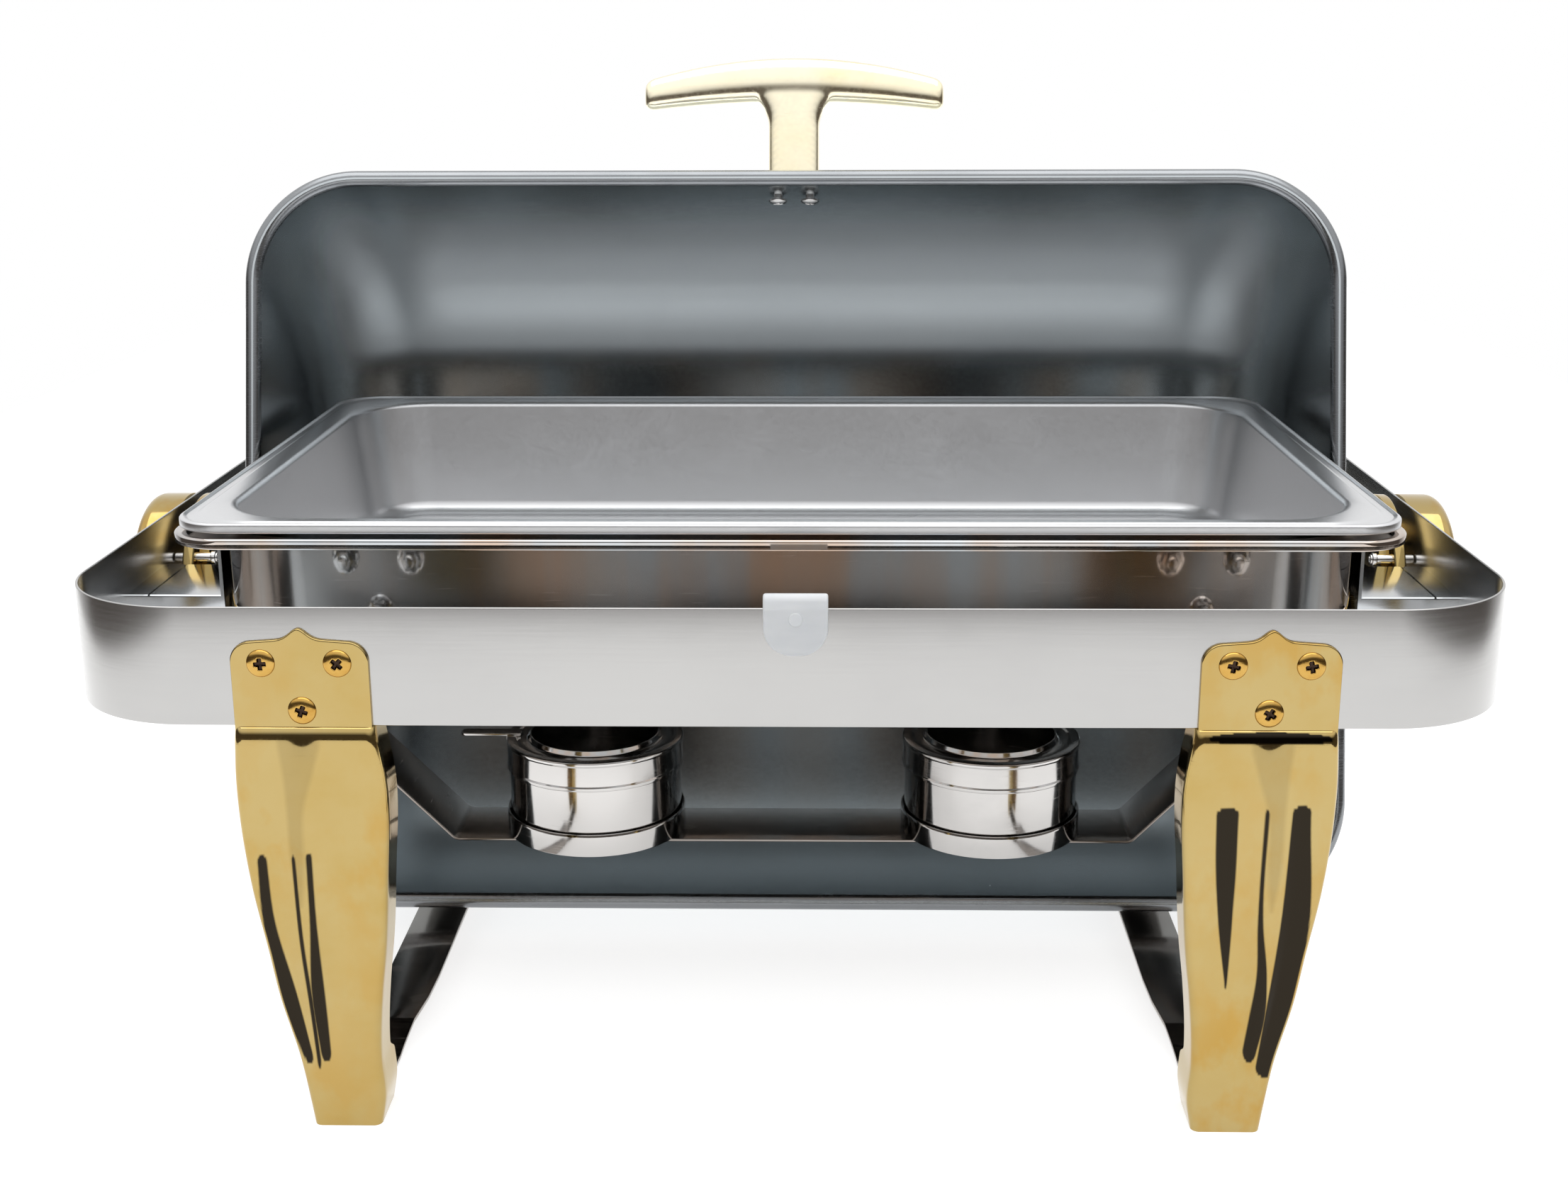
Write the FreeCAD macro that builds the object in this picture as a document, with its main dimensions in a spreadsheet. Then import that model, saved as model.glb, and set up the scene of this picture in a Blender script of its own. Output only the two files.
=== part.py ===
import FreeCAD, Part
import math
import os
import Sketcher

# Roll-top chafing dish, millimetres. Front is -Y, feet on Z = 0, origin at the middle of the footprint.
# The cover stands open at rest; its pieces are drawn closed about the hinge line and turned open.

doc = FreeCAD.newDocument("chafing_dish")
sheet = doc.addObject("Spreadsheet::Sheet", "Sizes")

# name, value, what it is
sizeTable = [
    ("hinge_space", 4.8, "fixed hinge disc to the inside of the apron"),
    ("band_front_gap", 32.5, "cover sheet to the outside of the apron, front and back"),
    ("band_corner", 58, "outside corner radius of the apron"),
    ("band_thick", 1.2, "apron sheet"),
    ("stand_less", 7.5, "apron above the table: the cover radius less this"),
    ("band_height", 50, "height of the apron"),
    ("pan_half_length", 265, "food pan rim, half of the GN 1/1 length"),
    ("pan_half_depth", 162.5, "food pan rim, half of the GN 1/1 depth"),
    ("pan_above_band", 20.5, "food pan rim above the apron"),
    ("pan_deep", 65, "depth of the food pan"),
    ("pan_flange", 16, "width of the flat food pan rim"),
    ("pan_draft", 8, "how far the pan walls lean in over their depth"),
    ("pan_corner", 40, "corner radius of the food pan wall"),
    ("pan_sheet", 0.9, "pan sheet"),
    ("pan_floor_round", 9, "round between pan wall and floor"),
    ("rim_corner", 22, "corner radius of the food pan rim"),
    ("rim_lip", 4.5, "how far the food pan rim turns down"),
    ("rim_sheet", 1, "rim flange thickness"),
    ("lip_sheet", 2, "thickness of the rolled lip"),
    ("bath_over", 2.5, "water pan rim beyond the food pan rim"),
    ("bath_rim_drop", 6.2, "water pan rim below the food pan rim"),
    ("bath_lip", 4.8, "how far the water pan rim turns down"),
    ("bath_gap", 5, "water pan wall outside the food pan wall"),
    ("bath_deep", 90, "water pan rim to its underside"),
    ("ledge_drop", 23, "side ledges below the top of the apron"),
    ("ledge_sheet", 1.5, "side ledge sheet"),
    ("ledge_half_depth", 119, "half of the ledge length"),
    ("ledge_gap", 2, "water pan wall to the ledge upstand"),
    ("ledge_back", 6, "long rear part of the ledge ends this far inside the cover"),
    ("ledge_lip", 6, "front lip of the ledge"),
    ("ledge_space", 5, "hinge discs to the wide front part of the ledge"),
    ("groove_wide", 1, "score line along the ledge"),
    ("groove_deep", 0.7, "depth of the score line"),
    ("pivot_drop", 26, "hinge line below the top of the apron"),
    ("open_angle", 105, "how far the cover is turned open"),
    ("axle_radius", 5, "hinge axle"),
    ("running_gap", 0.05, "radial running clearance on the axle"),
    ("axle_head", 8, "radius of the axle head"),
    ("hub_radius", 42, "hinge discs and caps"),
    ("hub_forward", 17, "hub centre ahead of the hinge line"),
    ("hub_below", 15, "hub centre below the hinge line"),
    ("bead_gap", 0.3, "cover bead to the moving hinge disc"),
    ("disc_thick", 4.8, "moving hinge disc"),
    ("disc_gap", 0.3, "gap between the two discs"),
    ("seat_thick", 5.6, "fixed hinge disc"),
    ("cap_thick", 20, "brass cap outside the apron"),
    ("cap_round", 7, "round of the cap's outer edge"),
    ("pin_radius", 2.4, "stop pin"),
    ("pin_forward", 50, "stop pin ahead of the hinge line"),
    ("pin_above", 3, "stop pin above the hinge line"),
    ("pin_out", 5.7, "stop pin stands this far in from the moving disc"),
    ("pin_collar", 3.2, "radius of the collar on the stop pin"),
    ("notch_gap", 0.4, "stop pin to the bottom of its notch"),
    ("notch_end_gap", 0.45, "degrees between the pin and the end of its notch, cover open"),
    ("arm_radius", 17, "end of the arm that reaches the cover"),
    ("arm_up", 40, "arm end above the hinge line, cover closed"),
    ("cover_gap", 13.5, "water pan rim to the cover sheet at the ends"),
    ("cover_behind", 22.5, "water pan rim to the cover sheet at the back"),
    ("cover_sheet", 1, "cover sheet"),
    ("cover_corner", 54, "round of the cover's end walls"),
    ("cover_lift", 10, "cover rim above the hinge line when closed"),
    ("bead_radius", 4, "rolled rim of the cover"),
    ("handle_low", 33, "underside of the handle above the hinge line"),
    ("handle_thick", 14, "handle thickness"),
    ("stem_half", 13.3, "half width of the handle stem"),
    ("stem_sink", 3, "the stem starts this far inside the cover radius"),
    ("bar_half", 79, "half length of the grip bar"),
    ("bar_away", 45.5, "cover to the inner side of the bar at the middle"),
    ("bar_wide", 23, "width of the bar at the middle"),
    ("bar_end_away", 40.5, "cover to the inner side of the bar at its ends"),
    ("bar_end_wide", 16, "width of the bar at its ends"),
    ("bar_round", 5, "rounding of the grip bar"),
    ("screw_gap", 8.5, "handle screw from the middle"),
    ("screw_up", 41, "handle screws above the hinge line"),
    ("leg_in", 107, "leg centre from the end of the apron"),
    ("leg_plate_half", 28, "half width of the leg's upper plate"),
    ("leg_sheet", 1.6, "leg sheet"),
    ("peak_up", 41.5, "tip of the upper plate above the apron's lower edge"),
    ("shoulder_up", 36, "shoulders of the upper plate above that edge"),
    ("leg_step", 2.5, "lower part stands proud of the upper plate"),
    ("leg_flange", 15, "depth of the leg's side flanges"),
    ("foot_flange", 21, "depth of the foot"),
    ("foot_high", 26, "height of the deeper foot"),
    ("bulb_radius", 7, "pressed bulb at the top of the leg"),
    ("bulb_long", 60, "length of the bulb"),
    ("screw_side", 15.5, "upper leg screws either side of the leg centre"),
    ("high_screw_up", 27, "upper leg screws above the apron's lower edge"),
    ("low_screw_up", 7, "lower leg screw above that edge"),
    ("screw_head", 5.8, "radius of the leg screw head"),
    ("head_thick", 3, "leg screw head"),
    ("screw_shank", 2.5, "radius of the leg screw shank"),
    ("nut_flange", 6.4, "radius of the nut's flange"),
    ("nut_radius", 5, "hexagon of the nut, corner radius"),
    ("nut_thick", 4.5, "nut"),
    ("runner_in", 23, "inner edge of the floor runner from the leg centre"),
    ("runner_wide", 26, "width of the floor runner"),
    ("runner_thick", 2, "floor runner"),
    ("runner_neck", 15, "width of the runner at the feet"),
    ("runner_step", 5, "the runner's inner edge moves out by this at the feet"),
    ("runner_rise", 6, "the middle of the runner stands this far off the table"),
    ("runner_ramp", 24, "length of the slope down to the feet"),
    ("shelf_top", 48.5, "top of the fuel shelf"),
    ("shelf_half_depth", 22, "half of the shelf's depth"),
    ("shelf_slope", 80, "how far the sloping end of the shelf runs sideways"),
    ("knee_drop", 50, "the shelf turns upright this far below the apron"),
    ("shelf_sheet", 1.5, "fuel shelf strip"),
    ("burner_place", 104, "burner from the middle"),
    ("burner_radius", 45, "fuel holder"),
    ("burner_high", 49.5, "fuel holder cup"),
    ("burner_sheet", 0.8, "fuel holder sheet"),
    ("ring_gap", 1, "seat ring around the fuel holder"),
    ("ring_sheet", 1, "seat ring"),
    ("ring_high", 12, "seat ring height"),
    ("lid_gap", 0.4, "lid skirt around the fuel holder"),
    ("lid_skirt", 14.5, "height of the lid skirt"),
    ("lid_opening", 33, "radius of the flame opening"),
    ("lid_sheet", 1, "lid sheet"),
    ("lid_neck", 3, "raised collar around the flame opening"),
    ("grip_long", 24, "lid grip beyond the lid"),
    ("grip_wide", 8, "lid grip width"),
    ("clip_half", 13, "half width of the bumper clip"),
    ("clip_shift", 5, "the clip sits this far right of the middle"),
    ("clip_down", 19, "bumper clip below the top of the apron"),
    ("clip_up", 6, "bumper clip above the top of the apron"),
    ("clip_wall", 2.6, "bumper clip wall"),
    ("clip_round", 11, "rounded lower corners of the clip"),
]
for row, (alias, value, note) in enumerate(sizeTable, start=1):
    sheet.set("A%d" % row, alias)
    sheet.set("B%d" % row, repr(value))
    sheet.setAlias("B%d" % row, alias)
    sheet.set("C%d" % row, note)
doc.recompute()


class Size:
    """A number together with the sheet expression that gives it."""

    def __init__(self, text, value):
        self.text = text
        self.value = value

    def join(self, other, sign, value):
        return Size("(%s %s %s)" % (self.text, sign, other.text), value)

    def __add__(self, other):
        other = asSize(other)
        return self.join(other, "+", self.value + other.value)

    def __sub__(self, other):
        other = asSize(other)
        return self.join(other, "-", self.value - other.value)

    def __mul__(self, other):
        other = asSize(other)
        return self.join(other, "*", self.value * other.value)

    def __truediv__(self, other):
        other = asSize(other)
        return self.join(other, "/", self.value / other.value)

    def __neg__(self):
        return self * -1


def asSize(number):
    if isinstance(number, Size):
        return number
    return Size("(%r)" % float(number), float(number))


def cosine(angle):
    return Size("cos(%s * 1 deg)" % angle.text, math.cos(math.radians(angle.value)))


def sine(angle):
    return Size("sin(%s * 1 deg)" % angle.text, math.sin(math.radians(angle.value)))


size = {}
for alias, value, note in sizeTable:
    size[alias] = Size("Sizes." + alias, float(value))

# sizes that follow from the ones in the sheet
size["cover_half_width"] = size["pan_half_length"] + size["bath_over"] + size["cover_gap"]
size["cover_radius"] = size["pan_half_depth"] + size["bath_over"] + size["cover_behind"]
size["band_bottom"] = size["cover_radius"] - size["stand_less"]
bandTop = size["band_bottom"] + size["band_height"]
size["plate_inner"] = size["cover_half_width"] + size["bead_radius"] + size["bead_gap"]
size["seat_near"] = size["plate_inner"] + size["disc_thick"] + size["disc_gap"]
size["band_half_width"] = size["seat_near"] + size["seat_thick"] + size["hinge_space"] + size["band_thick"]
size["band_half_depth"] = size["cover_radius"] + size["band_front_gap"]
size["pan_rim_top"] = bandTop + size["pan_above_band"]
size["bath_rim_top"] = size["pan_rim_top"] - size["bath_rim_drop"]
size["bath_bottom"] = size["bath_rim_top"] - size["bath_deep"]
size["ledge_top"] = bandTop - size["ledge_drop"]
size["ledge_inner"] = size["pan_half_length"] - size["pan_flange"] + size["bath_gap"] + size["ledge_gap"]
size["ledge_clear"] = size["hub_forward"] + size["hub_radius"] + size["ledge_space"]
size["ledge_reach"] = size["cover_half_width"] - size["ledge_back"]
size["pivot_height"] = bandTop - size["pivot_drop"]
size["pin_inner"] = size["plate_inner"] - size["pin_out"]
size["notch_radius"] = size["pin_forward"] - size["pin_radius"] - size["notch_gap"]
size["stem_root"] = size["cover_radius"] - size["stem_sink"]
size["bar_inner"] = size["cover_radius"] + size["bar_away"]
size["bar_outer"] = size["bar_inner"] + size["bar_wide"]
size["bar_inner_end"] = size["cover_radius"] + size["bar_end_away"]
size["bar_outer_end"] = size["bar_inner_end"] + size["bar_end_wide"]
size["leg_centre"] = size["band_half_width"] - size["leg_in"]
size["leg_peak"] = size["band_bottom"] + size["peak_up"]
size["leg_shoulder"] = size["band_bottom"] + size["shoulder_up"]
size["screw_high"] = size["band_bottom"] + size["high_screw_up"]
size["screw_low"] = size["band_bottom"] + size["low_screw_up"]
size["runner_inner"] = size["leg_centre"] - size["runner_in"]
size["shelf_flat"] = size["ledge_inner"] - size["shelf_slope"]
size["shelf_knee"] = size["band_bottom"] - size["knee_drop"]
size["clip_low"] = bandTop - size["clip_down"]
size["clip_top"] = bandTop + size["clip_up"]

nodes = []


def newBody(name):
    body = doc.addObject("PartDesign::Body", name)
    body.Label = name
    nodes.append(body)
    return body


def bind(thing, prop, amount):
    thing.setExpression(prop, asSize(amount).text)


def originPlane(body, role):
    for feature in body.Origin.OriginFeatures:
        if feature.Role == role:
            return feature
    raise ValueError(role)


def newSketch(body, name, role, offset):
    sketch = body.newObject("Sketcher::SketchObject", name)
    sketch.AttachmentSupport = [(originPlane(body, role), "")]
    sketch.MapMode = "FlatFace"
    bind(sketch, "AttachmentOffset.Base.z", offset)
    return sketch


def pinPoint(sketch, geometry, end, spot):
    """Hold one point of the sketch at two sheet-driven distances."""
    for kind, axis, amount in (("DistanceX", -2, spot[0]), ("DistanceY", -1, spot[1])):
        amount = asSize(amount)
        if abs(amount.value) < 1e-9:
            sketch.addConstraint(Sketcher.Constraint("PointOnObject", geometry, end, axis))
        else:
            index = sketch.addConstraint(
                Sketcher.Constraint(kind, -1, 1, geometry, end, amount.value))
            bind(sketch, "Constraints[%d]" % index, amount)


def drawLoop(sketch, spots):
    """Closed outline of straight lines through the given spots."""
    flat = [(asSize(a), asSize(b)) for a, b in spots]
    first = sketch.GeometryCount
    count = len(flat)
    for i in range(count):
        here = flat[i]
        there = flat[(i + 1) % count]
        sketch.addGeometry(Part.LineSegment(
            FreeCAD.Vector(here[0].value, here[1].value, 0),
            FreeCAD.Vector(there[0].value, there[1].value, 0)), False)
    for i in range(count):
        following = first + (i + 1) % count
        sketch.addConstraint(Sketcher.Constraint("Coincident", first + i, 2, following, 1))
    for i in range(count):
        pinPoint(sketch, first + i, 1, flat[i])


def drawCircle(sketch, spot, radius):
    radius = asSize(radius)
    across = asSize(spot[0])
    up = asSize(spot[1])
    index = sketch.addGeometry(Part.Circle(
        FreeCAD.Vector(across.value, up.value, 0), FreeCAD.Vector(0, 0, 1), radius.value), False)
    pinPoint(sketch, index, 3, (across, up))
    held = sketch.addConstraint(Sketcher.Constraint("Radius", index, radius.value))
    bind(sketch, "Constraints[%d]" % held, radius)


def drawRounded(sketch, halfAcross, halfUp, corner):
    """Rectangle with rounded corners about the sketch origin."""
    halfAcross = asSize(halfAcross)
    halfUp = asSize(halfUp)
    corner = asSize(corner)
    a = halfAcross.value
    b = halfUp.value
    c = corner.value
    first = sketch.GeometryCount
    sides = [((-a + c, -b), (a - c, -b)), ((a, -b + c), (a, b - c)),
             ((a - c, b), (-a + c, b)), ((-a, b - c), (-a, -b + c))]
    turns = [((a - c, -b + c), 270), ((a - c, b - c), 0), ((-a + c, b - c), 90), ((-a + c, -b + c), 180)]
    for i in range(4):
        start, end = sides[i]
        sketch.addGeometry(Part.LineSegment(
            FreeCAD.Vector(start[0], start[1], 0), FreeCAD.Vector(end[0], end[1], 0)), False)
        middle, angle = turns[i]
        circle = Part.Circle(FreeCAD.Vector(middle[0], middle[1], 0), FreeCAD.Vector(0, 0, 1), c)
        sketch.addGeometry(Part.ArcOfCircle(
            circle, math.radians(angle), math.radians(angle + 90)), False)
    for i in range(4):
        line = first + 2 * i
        arc = line + 1
        following = first + (2 * i + 2) % 8
        sketch.addConstraint(Sketcher.Constraint("Tangent", line, 2, arc, 1))
        sketch.addConstraint(Sketcher.Constraint("Tangent", arc, 2, following, 1))
    sketch.addConstraint(Sketcher.Constraint("Horizontal", first))
    sketch.addConstraint(Sketcher.Constraint("Vertical", first + 2))
    for i in range(1, 4):
        sketch.addConstraint(Sketcher.Constraint("Equal", first + 1, first + 1 + 2 * i))
    held = sketch.addConstraint(Sketcher.Constraint("Radius", first + 1, c))
    bind(sketch, "Constraints[%d]" % held, corner)
    for kind, line, amount in (("DistanceY", 0, -halfUp), ("DistanceX", 2, halfAcross),
                               ("DistanceY", 4, halfUp), ("DistanceX", 6, -halfAcross)):
        held = sketch.addConstraint(
            Sketcher.Constraint(kind, -1, 1, first + line, 1, amount.value))
        bind(sketch, "Constraints[%d]" % held, amount)


def grow(body, sketch, length, kind="PartDesign::Pad", backwards=False):
    """Pad or pocket; a pocket here always cuts along the sketch normal."""
    feature = body.newObject(kind, sketch.Name + "Solid")
    feature.Profile = sketch
    bind(feature, "Length", length)
    feature.Reversed = backwards
    doc.recompute()
    return feature


def cut(body, sketch, length):
    """Pocket along the sketch normal, with a check that it removed something."""
    before = body.Shape.Volume
    feature = grow(body, sketch, length, "PartDesign::Pocket", True)
    if body.Shape.Volume > before - 1e-6:
        raise RuntimeError("nothing cut by " + sketch.Name)
    return feature


def dress(body, kind, base, wanted, prop, amount):
    """Fillet or chamfer on the edges for which wanted(edge) is true."""
    names = []
    for number, edge in enumerate(base.Shape.Edges, start=1):
        if wanted(edge):
            names.append("Edge%d" % number)
    if not names:
        raise RuntimeError("no edges for " + body.Label)
    feature = body.newObject(kind, body.Name + "Dress")
    feature.Base = (base, names)
    bind(feature, prop, amount)
    doc.recompute()
    return feature


def liesIn(edge, axis, value):
    """True for an edge lying wholly in the plane axis = value."""
    box = edge.BoundBox
    low = (box.XMin, box.YMin, box.ZMin)[axis]
    high = (box.XMax, box.YMax, box.ZMax)[axis]
    return abs(low - value) < 1e-3 and abs(high - value) < 1e-3


def sideStart(side, near, thick):
    """Lowest X of a slab that starts at distance near from the middle."""
    if side < 0:
        return -(near + thick)
    return asSize(near)


sideNames = {-1: "left", 1: "right"}

# ---- apron -------------------------------------------------------------------------------
band = newBody("band_apron")
outline = newSketch(band, "BandOutline", "XY_Plane", size["band_bottom"])
drawRounded(outline, size["band_half_width"], size["band_half_depth"], size["band_corner"])
drawRounded(outline, size["band_half_width"] - size["band_thick"],
            size["band_half_depth"] - size["band_thick"], size["band_corner"] - size["band_thick"])
grow(band, outline, size["band_height"])
axleHole = newSketch(band, "BandAxleHole", "YZ_Plane", -size["band_half_width"] - 1)
drawCircle(axleHole, (0, size["pivot_height"]), size["axle_radius"])
cut(band, axleHole, size["band_half_width"] * 2 + 2)
screwHoles = newSketch(band, "BandScrewHoles", "XZ_Plane", -size["band_half_depth"] - 1)
for side in (-1, 1):
    for shift, high in ((-1, "screw_high"), (1, "screw_high"), (0, "screw_low")):
        drawCircle(screwHoles, (size["leg_centre"] * side + size["screw_side"] * shift, size[high]),
                   size["screw_shank"])
cut(band, screwHoles, size["band_half_depth"] * 2 + 2)

# ---- side ledges that carry the water pan ------------------------------------------------
for side in (-1, 1):
    name = "side_ledge_" + sideNames[side]
    ledge = newBody(name)
    wall = size["band_half_width"] - size["band_thick"]
    front = -size["ledge_half_depth"]
    sheetTop = size["ledge_top"]
    flat = newSketch(ledge, name + "_flat", "XY_Plane", sheetTop - size["ledge_sheet"])
    drawLoop(flat, [(size["ledge_inner"] * side, front), (wall * side, front),
                    (wall * side, -size["ledge_clear"]), (size["ledge_reach"] * side, -size["ledge_clear"]),
                    (size["ledge_reach"] * side, -front), (size["ledge_inner"] * side, -front)])
    grow(ledge, flat, size["ledge_sheet"])
    upstand = newSketch(ledge, name + "_upstand", "XY_Plane", sheetTop - size["ledge_sheet"])
    drawLoop(upstand, [(size["ledge_inner"] * side, front),
                       ((size["ledge_inner"] + size["ledge_sheet"]) * side, front),
                       ((size["ledge_inner"] + size["ledge_sheet"]) * side, -front),
                       (size["ledge_inner"] * side, -front)])
    grow(ledge, upstand, size["bath_rim_top"] - size["rim_sheet"] - sheetTop + size["ledge_sheet"])
    lip = newSketch(ledge, name + "_lip", "XY_Plane", sheetTop - size["ledge_lip"])
    drawLoop(lip, [(size["ledge_inner"] * side, front), (wall * side, front),
                   (wall * side, front + size["ledge_sheet"]),
                   (size["ledge_inner"] * side, front + size["ledge_sheet"])])
    grow(ledge, lip, size["ledge_lip"])
    frontEdge = -size["ledge_half_depth"].value
    dress(ledge, "PartDesign::Fillet", ledge.Tip,
          lambda edge: liesIn(edge, 1, frontEdge) and liesIn(edge, 2, sheetTop.value),
          "Radius", 1)
    score = newSketch(ledge, name + "_score", "XY_Plane", sheetTop - size["groove_deep"])
    scoreAt = size["plate_inner"] + size["disc_thick"]
    drawLoop(score, [(scoreAt * side, front - 1), ((scoreAt + size["groove_wide"]) * side, front - 1),
                     ((scoreAt + size["groove_wide"]) * side, -size["ledge_clear"] + 1),
                     (scoreAt * side, -size["ledge_clear"] + 1)])
    cut(ledge, score, size["groove_deep"] + 1)

# ---- legs --------------------------------------------------------------------------------
# share of the leg's height, distance outwards and inwards from the leg centre
legOutline = [(1, 28.3, 29), (0.872, 29.5, 32.5), (0.611, 26.5, 30.5), (0.444, 21.5, 28),
              (0.339, 18.5, 25.5), (0.167, 11.3, 23.3), (0.067, 8.6, 24), (0, 7, 22)]


def legLoop(side, inset, lowerTop, lowerFoot):
    """Outline of the leg's lower part, drawn in by inset, its top and foot moved down."""
    outer = []
    inner = []
    for share, away, towards in legOutline:
        height = size["band_bottom"] * share
        if share == 1:
            height = height - lowerTop
        if share == 0:
            height = height - lowerFoot
        outer.append((size["leg_centre"] * side + (asSize(away) - inset) * side, height))
        inner.append((size["leg_centre"] * side - (asSize(towards) - inset) * side, height))
    return outer + inner[::-1]


def makeLeg(name, side, turned):
    leg = newBody(name)
    face = -size["band_half_depth"]
    centre = size["leg_centre"] * side
    half = size["leg_plate_half"]
    upper = newSketch(leg, name + "_upper", "XZ_Plane", -face)
    low = size["band_bottom"] - size["leg_step"]
    drawLoop(upper, [(centre - half, low), (centre + half, low),
                     (centre + half, size["leg_shoulder"] - 5),
                     (centre + half - 5, size["leg_shoulder"]), (centre + half * 0.45, size["leg_shoulder"]),
                     (centre + half * 0.2, size["leg_peak"] - 1), (centre, size["leg_peak"]),
                     (centre - half * 0.2, size["leg_peak"] - 1), (centre - half * 0.45, size["leg_shoulder"]),
                     (centre - half + 5, size["leg_shoulder"]), (centre - half, size["leg_shoulder"] - 5)])
    grow(leg, upper, size["leg_sheet"])
    lower = newSketch(leg, name + "_lower", "XZ_Plane", -face - size["leg_flange"])
    drawLoop(lower, legLoop(side, 0, 0, 0))
    grow(leg, lower, size["leg_flange"] + size["leg_sheet"] + size["leg_step"])
    foot = newSketch(leg, name + "_foot", "XZ_Plane", -face - size["foot_flange"])
    footTop = size["foot_high"]
    drawLoop(foot, [(centre + asSize(7) * side, 0), (centre + asSize(10.4) * side, footTop),
                    (centre - asSize(23.3) * side, footTop), (centre - asSize(24) * side, 12),
                    (centre - asSize(22) * side, 0)])
    grow(leg, foot, size["foot_flange"] - size["leg_flange"] + 1)
    bulb = newSketch(leg, name + "_bulb", "XZ_Plane", -face + size["leg_sheet"])
    top = size["band_bottom"] - 6
    wide = size["bulb_radius"]
    drawLoop(bulb, [(centre - wide, top - wide), (centre - wide * 0.7, top - wide * 0.3), (centre, top),
                    (centre + wide * 0.7, top - wide * 0.3), (centre + wide, top - wide),
                    (centre + wide * 0.6, top - size["bulb_long"] * 0.6),
                    (centre, top - size["bulb_long"]),
                    (centre - wide * 0.6, top - size["bulb_long"] * 0.6)])
    grow(leg, bulb, size["leg_step"] + 2)
    hollow = newSketch(leg, name + "_hollow", "XZ_Plane", -face - size["foot_flange"] - 1)
    drawLoop(hollow, legLoop(side, size["leg_sheet"], size["leg_sheet"], 1))
    cut(leg, hollow, size["foot_flange"] + 1 + size["leg_step"])
    screws = newSketch(leg, name + "_screws", "XZ_Plane", -face - 1)
    for shift, high in ((-1, "screw_high"), (1, "screw_high"), (0, "screw_low")):
        drawCircle(screws, (centre + size["screw_side"] * shift, size[high]), size["screw_shank"])
    cut(leg, screws, size["leg_sheet"] + 2)
    if turned:
        leg.Placement = FreeCAD.Placement(
            FreeCAD.Vector(0, 0, 0), FreeCAD.Rotation(FreeCAD.Vector(0, 0, 1), 180))
    return leg


makeLeg("leg_front_left", -1, False)
makeLeg("leg_front_right", 1, False)
makeLeg("leg_rear_right", -1, True)
makeLeg("leg_rear_left", 1, True)

# ---- leg screws and nuts -----------------------------------------------------------------
screwSpots = []
for side in (-1, 1):
    for shift, high in ((-1, "screw_high"), (1, "screw_high"), (0, "screw_low")):
        screwSpots.append((size["leg_centre"] * side + size["screw_side"] * shift, size[high]))


def mirrorBack(body, source):
    """Repeat the front row of parts on the back of the apron."""
    mirror = body.newObject("PartDesign::Mirrored", body.Name + "Mirror")
    mirror.Originals = source
    mirror.MirrorPlane = (originPlane(body, "XZ_Plane"), [""])
    body.Tip = mirror
    doc.recompute()
    return mirror


screwsBody = newBody("leg_screws")
headSketch = newSketch(screwsBody, "LegScrewHeads", "XZ_Plane", size["band_half_depth"] + size["leg_sheet"])
for spot in screwSpots:
    drawCircle(headSketch, spot, size["screw_head"])
heads = grow(screwsBody, headSketch, size["head_thick"])
shankSketch = newSketch(screwsBody, "LegScrewShanks", "XZ_Plane",
                        size["band_half_depth"] - size["band_thick"] - size["nut_thick"] - 1.5)
for spot in screwSpots:
    drawCircle(shankSketch, spot, size["screw_shank"])
shanks = grow(screwsBody, shankSketch,
              size["band_thick"] + size["nut_thick"] + 1.5 + size["leg_sheet"] + 0.5)
headFace = -(size["band_half_depth"] + size["leg_sheet"] + size["head_thick"]).value
rounded = dress(screwsBody, "PartDesign::Fillet", screwsBody.Tip,
                lambda edge: liesIn(edge, 1, headFace), "Radius", size["head_thick"] * 0.8)
mirrorBack(screwsBody, [heads, shanks, rounded])

nutsBody = newBody("leg_nuts")
flangeSketch = newSketch(nutsBody, "LegNutFlanges", "XZ_Plane",
                         size["band_half_depth"] - size["band_thick"] - 1.2)
hexSketch = newSketch(nutsBody, "LegNutHexagons", "XZ_Plane",
                      size["band_half_depth"] - size["band_thick"] - size["nut_thick"])
boreSketch = newSketch(nutsBody, "LegNutBores", "XZ_Plane",
                       size["band_half_depth"] - size["band_thick"] - size["nut_thick"] - 1)
for spot in screwSpots:
    drawCircle(flangeSketch, spot, size["nut_flange"])
    corners = []
    for turn in range(6):
        angle = math.radians(60 * turn)
        corners.append((spot[0] + size["nut_radius"] * round(math.cos(angle), 6),
                        spot[1] + size["nut_radius"] * round(math.sin(angle), 6)))
    drawLoop(hexSketch, corners)
    drawCircle(boreSketch, spot, size["screw_shank"])
flanges = grow(nutsBody, flangeSketch, 1.2)
hexes = grow(nutsBody, hexSketch, size["nut_thick"] - 0.6)
bores = cut(nutsBody, boreSketch, size["nut_thick"] + 2)
mirrorBack(nutsBody, [flanges, hexes, bores])

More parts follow.
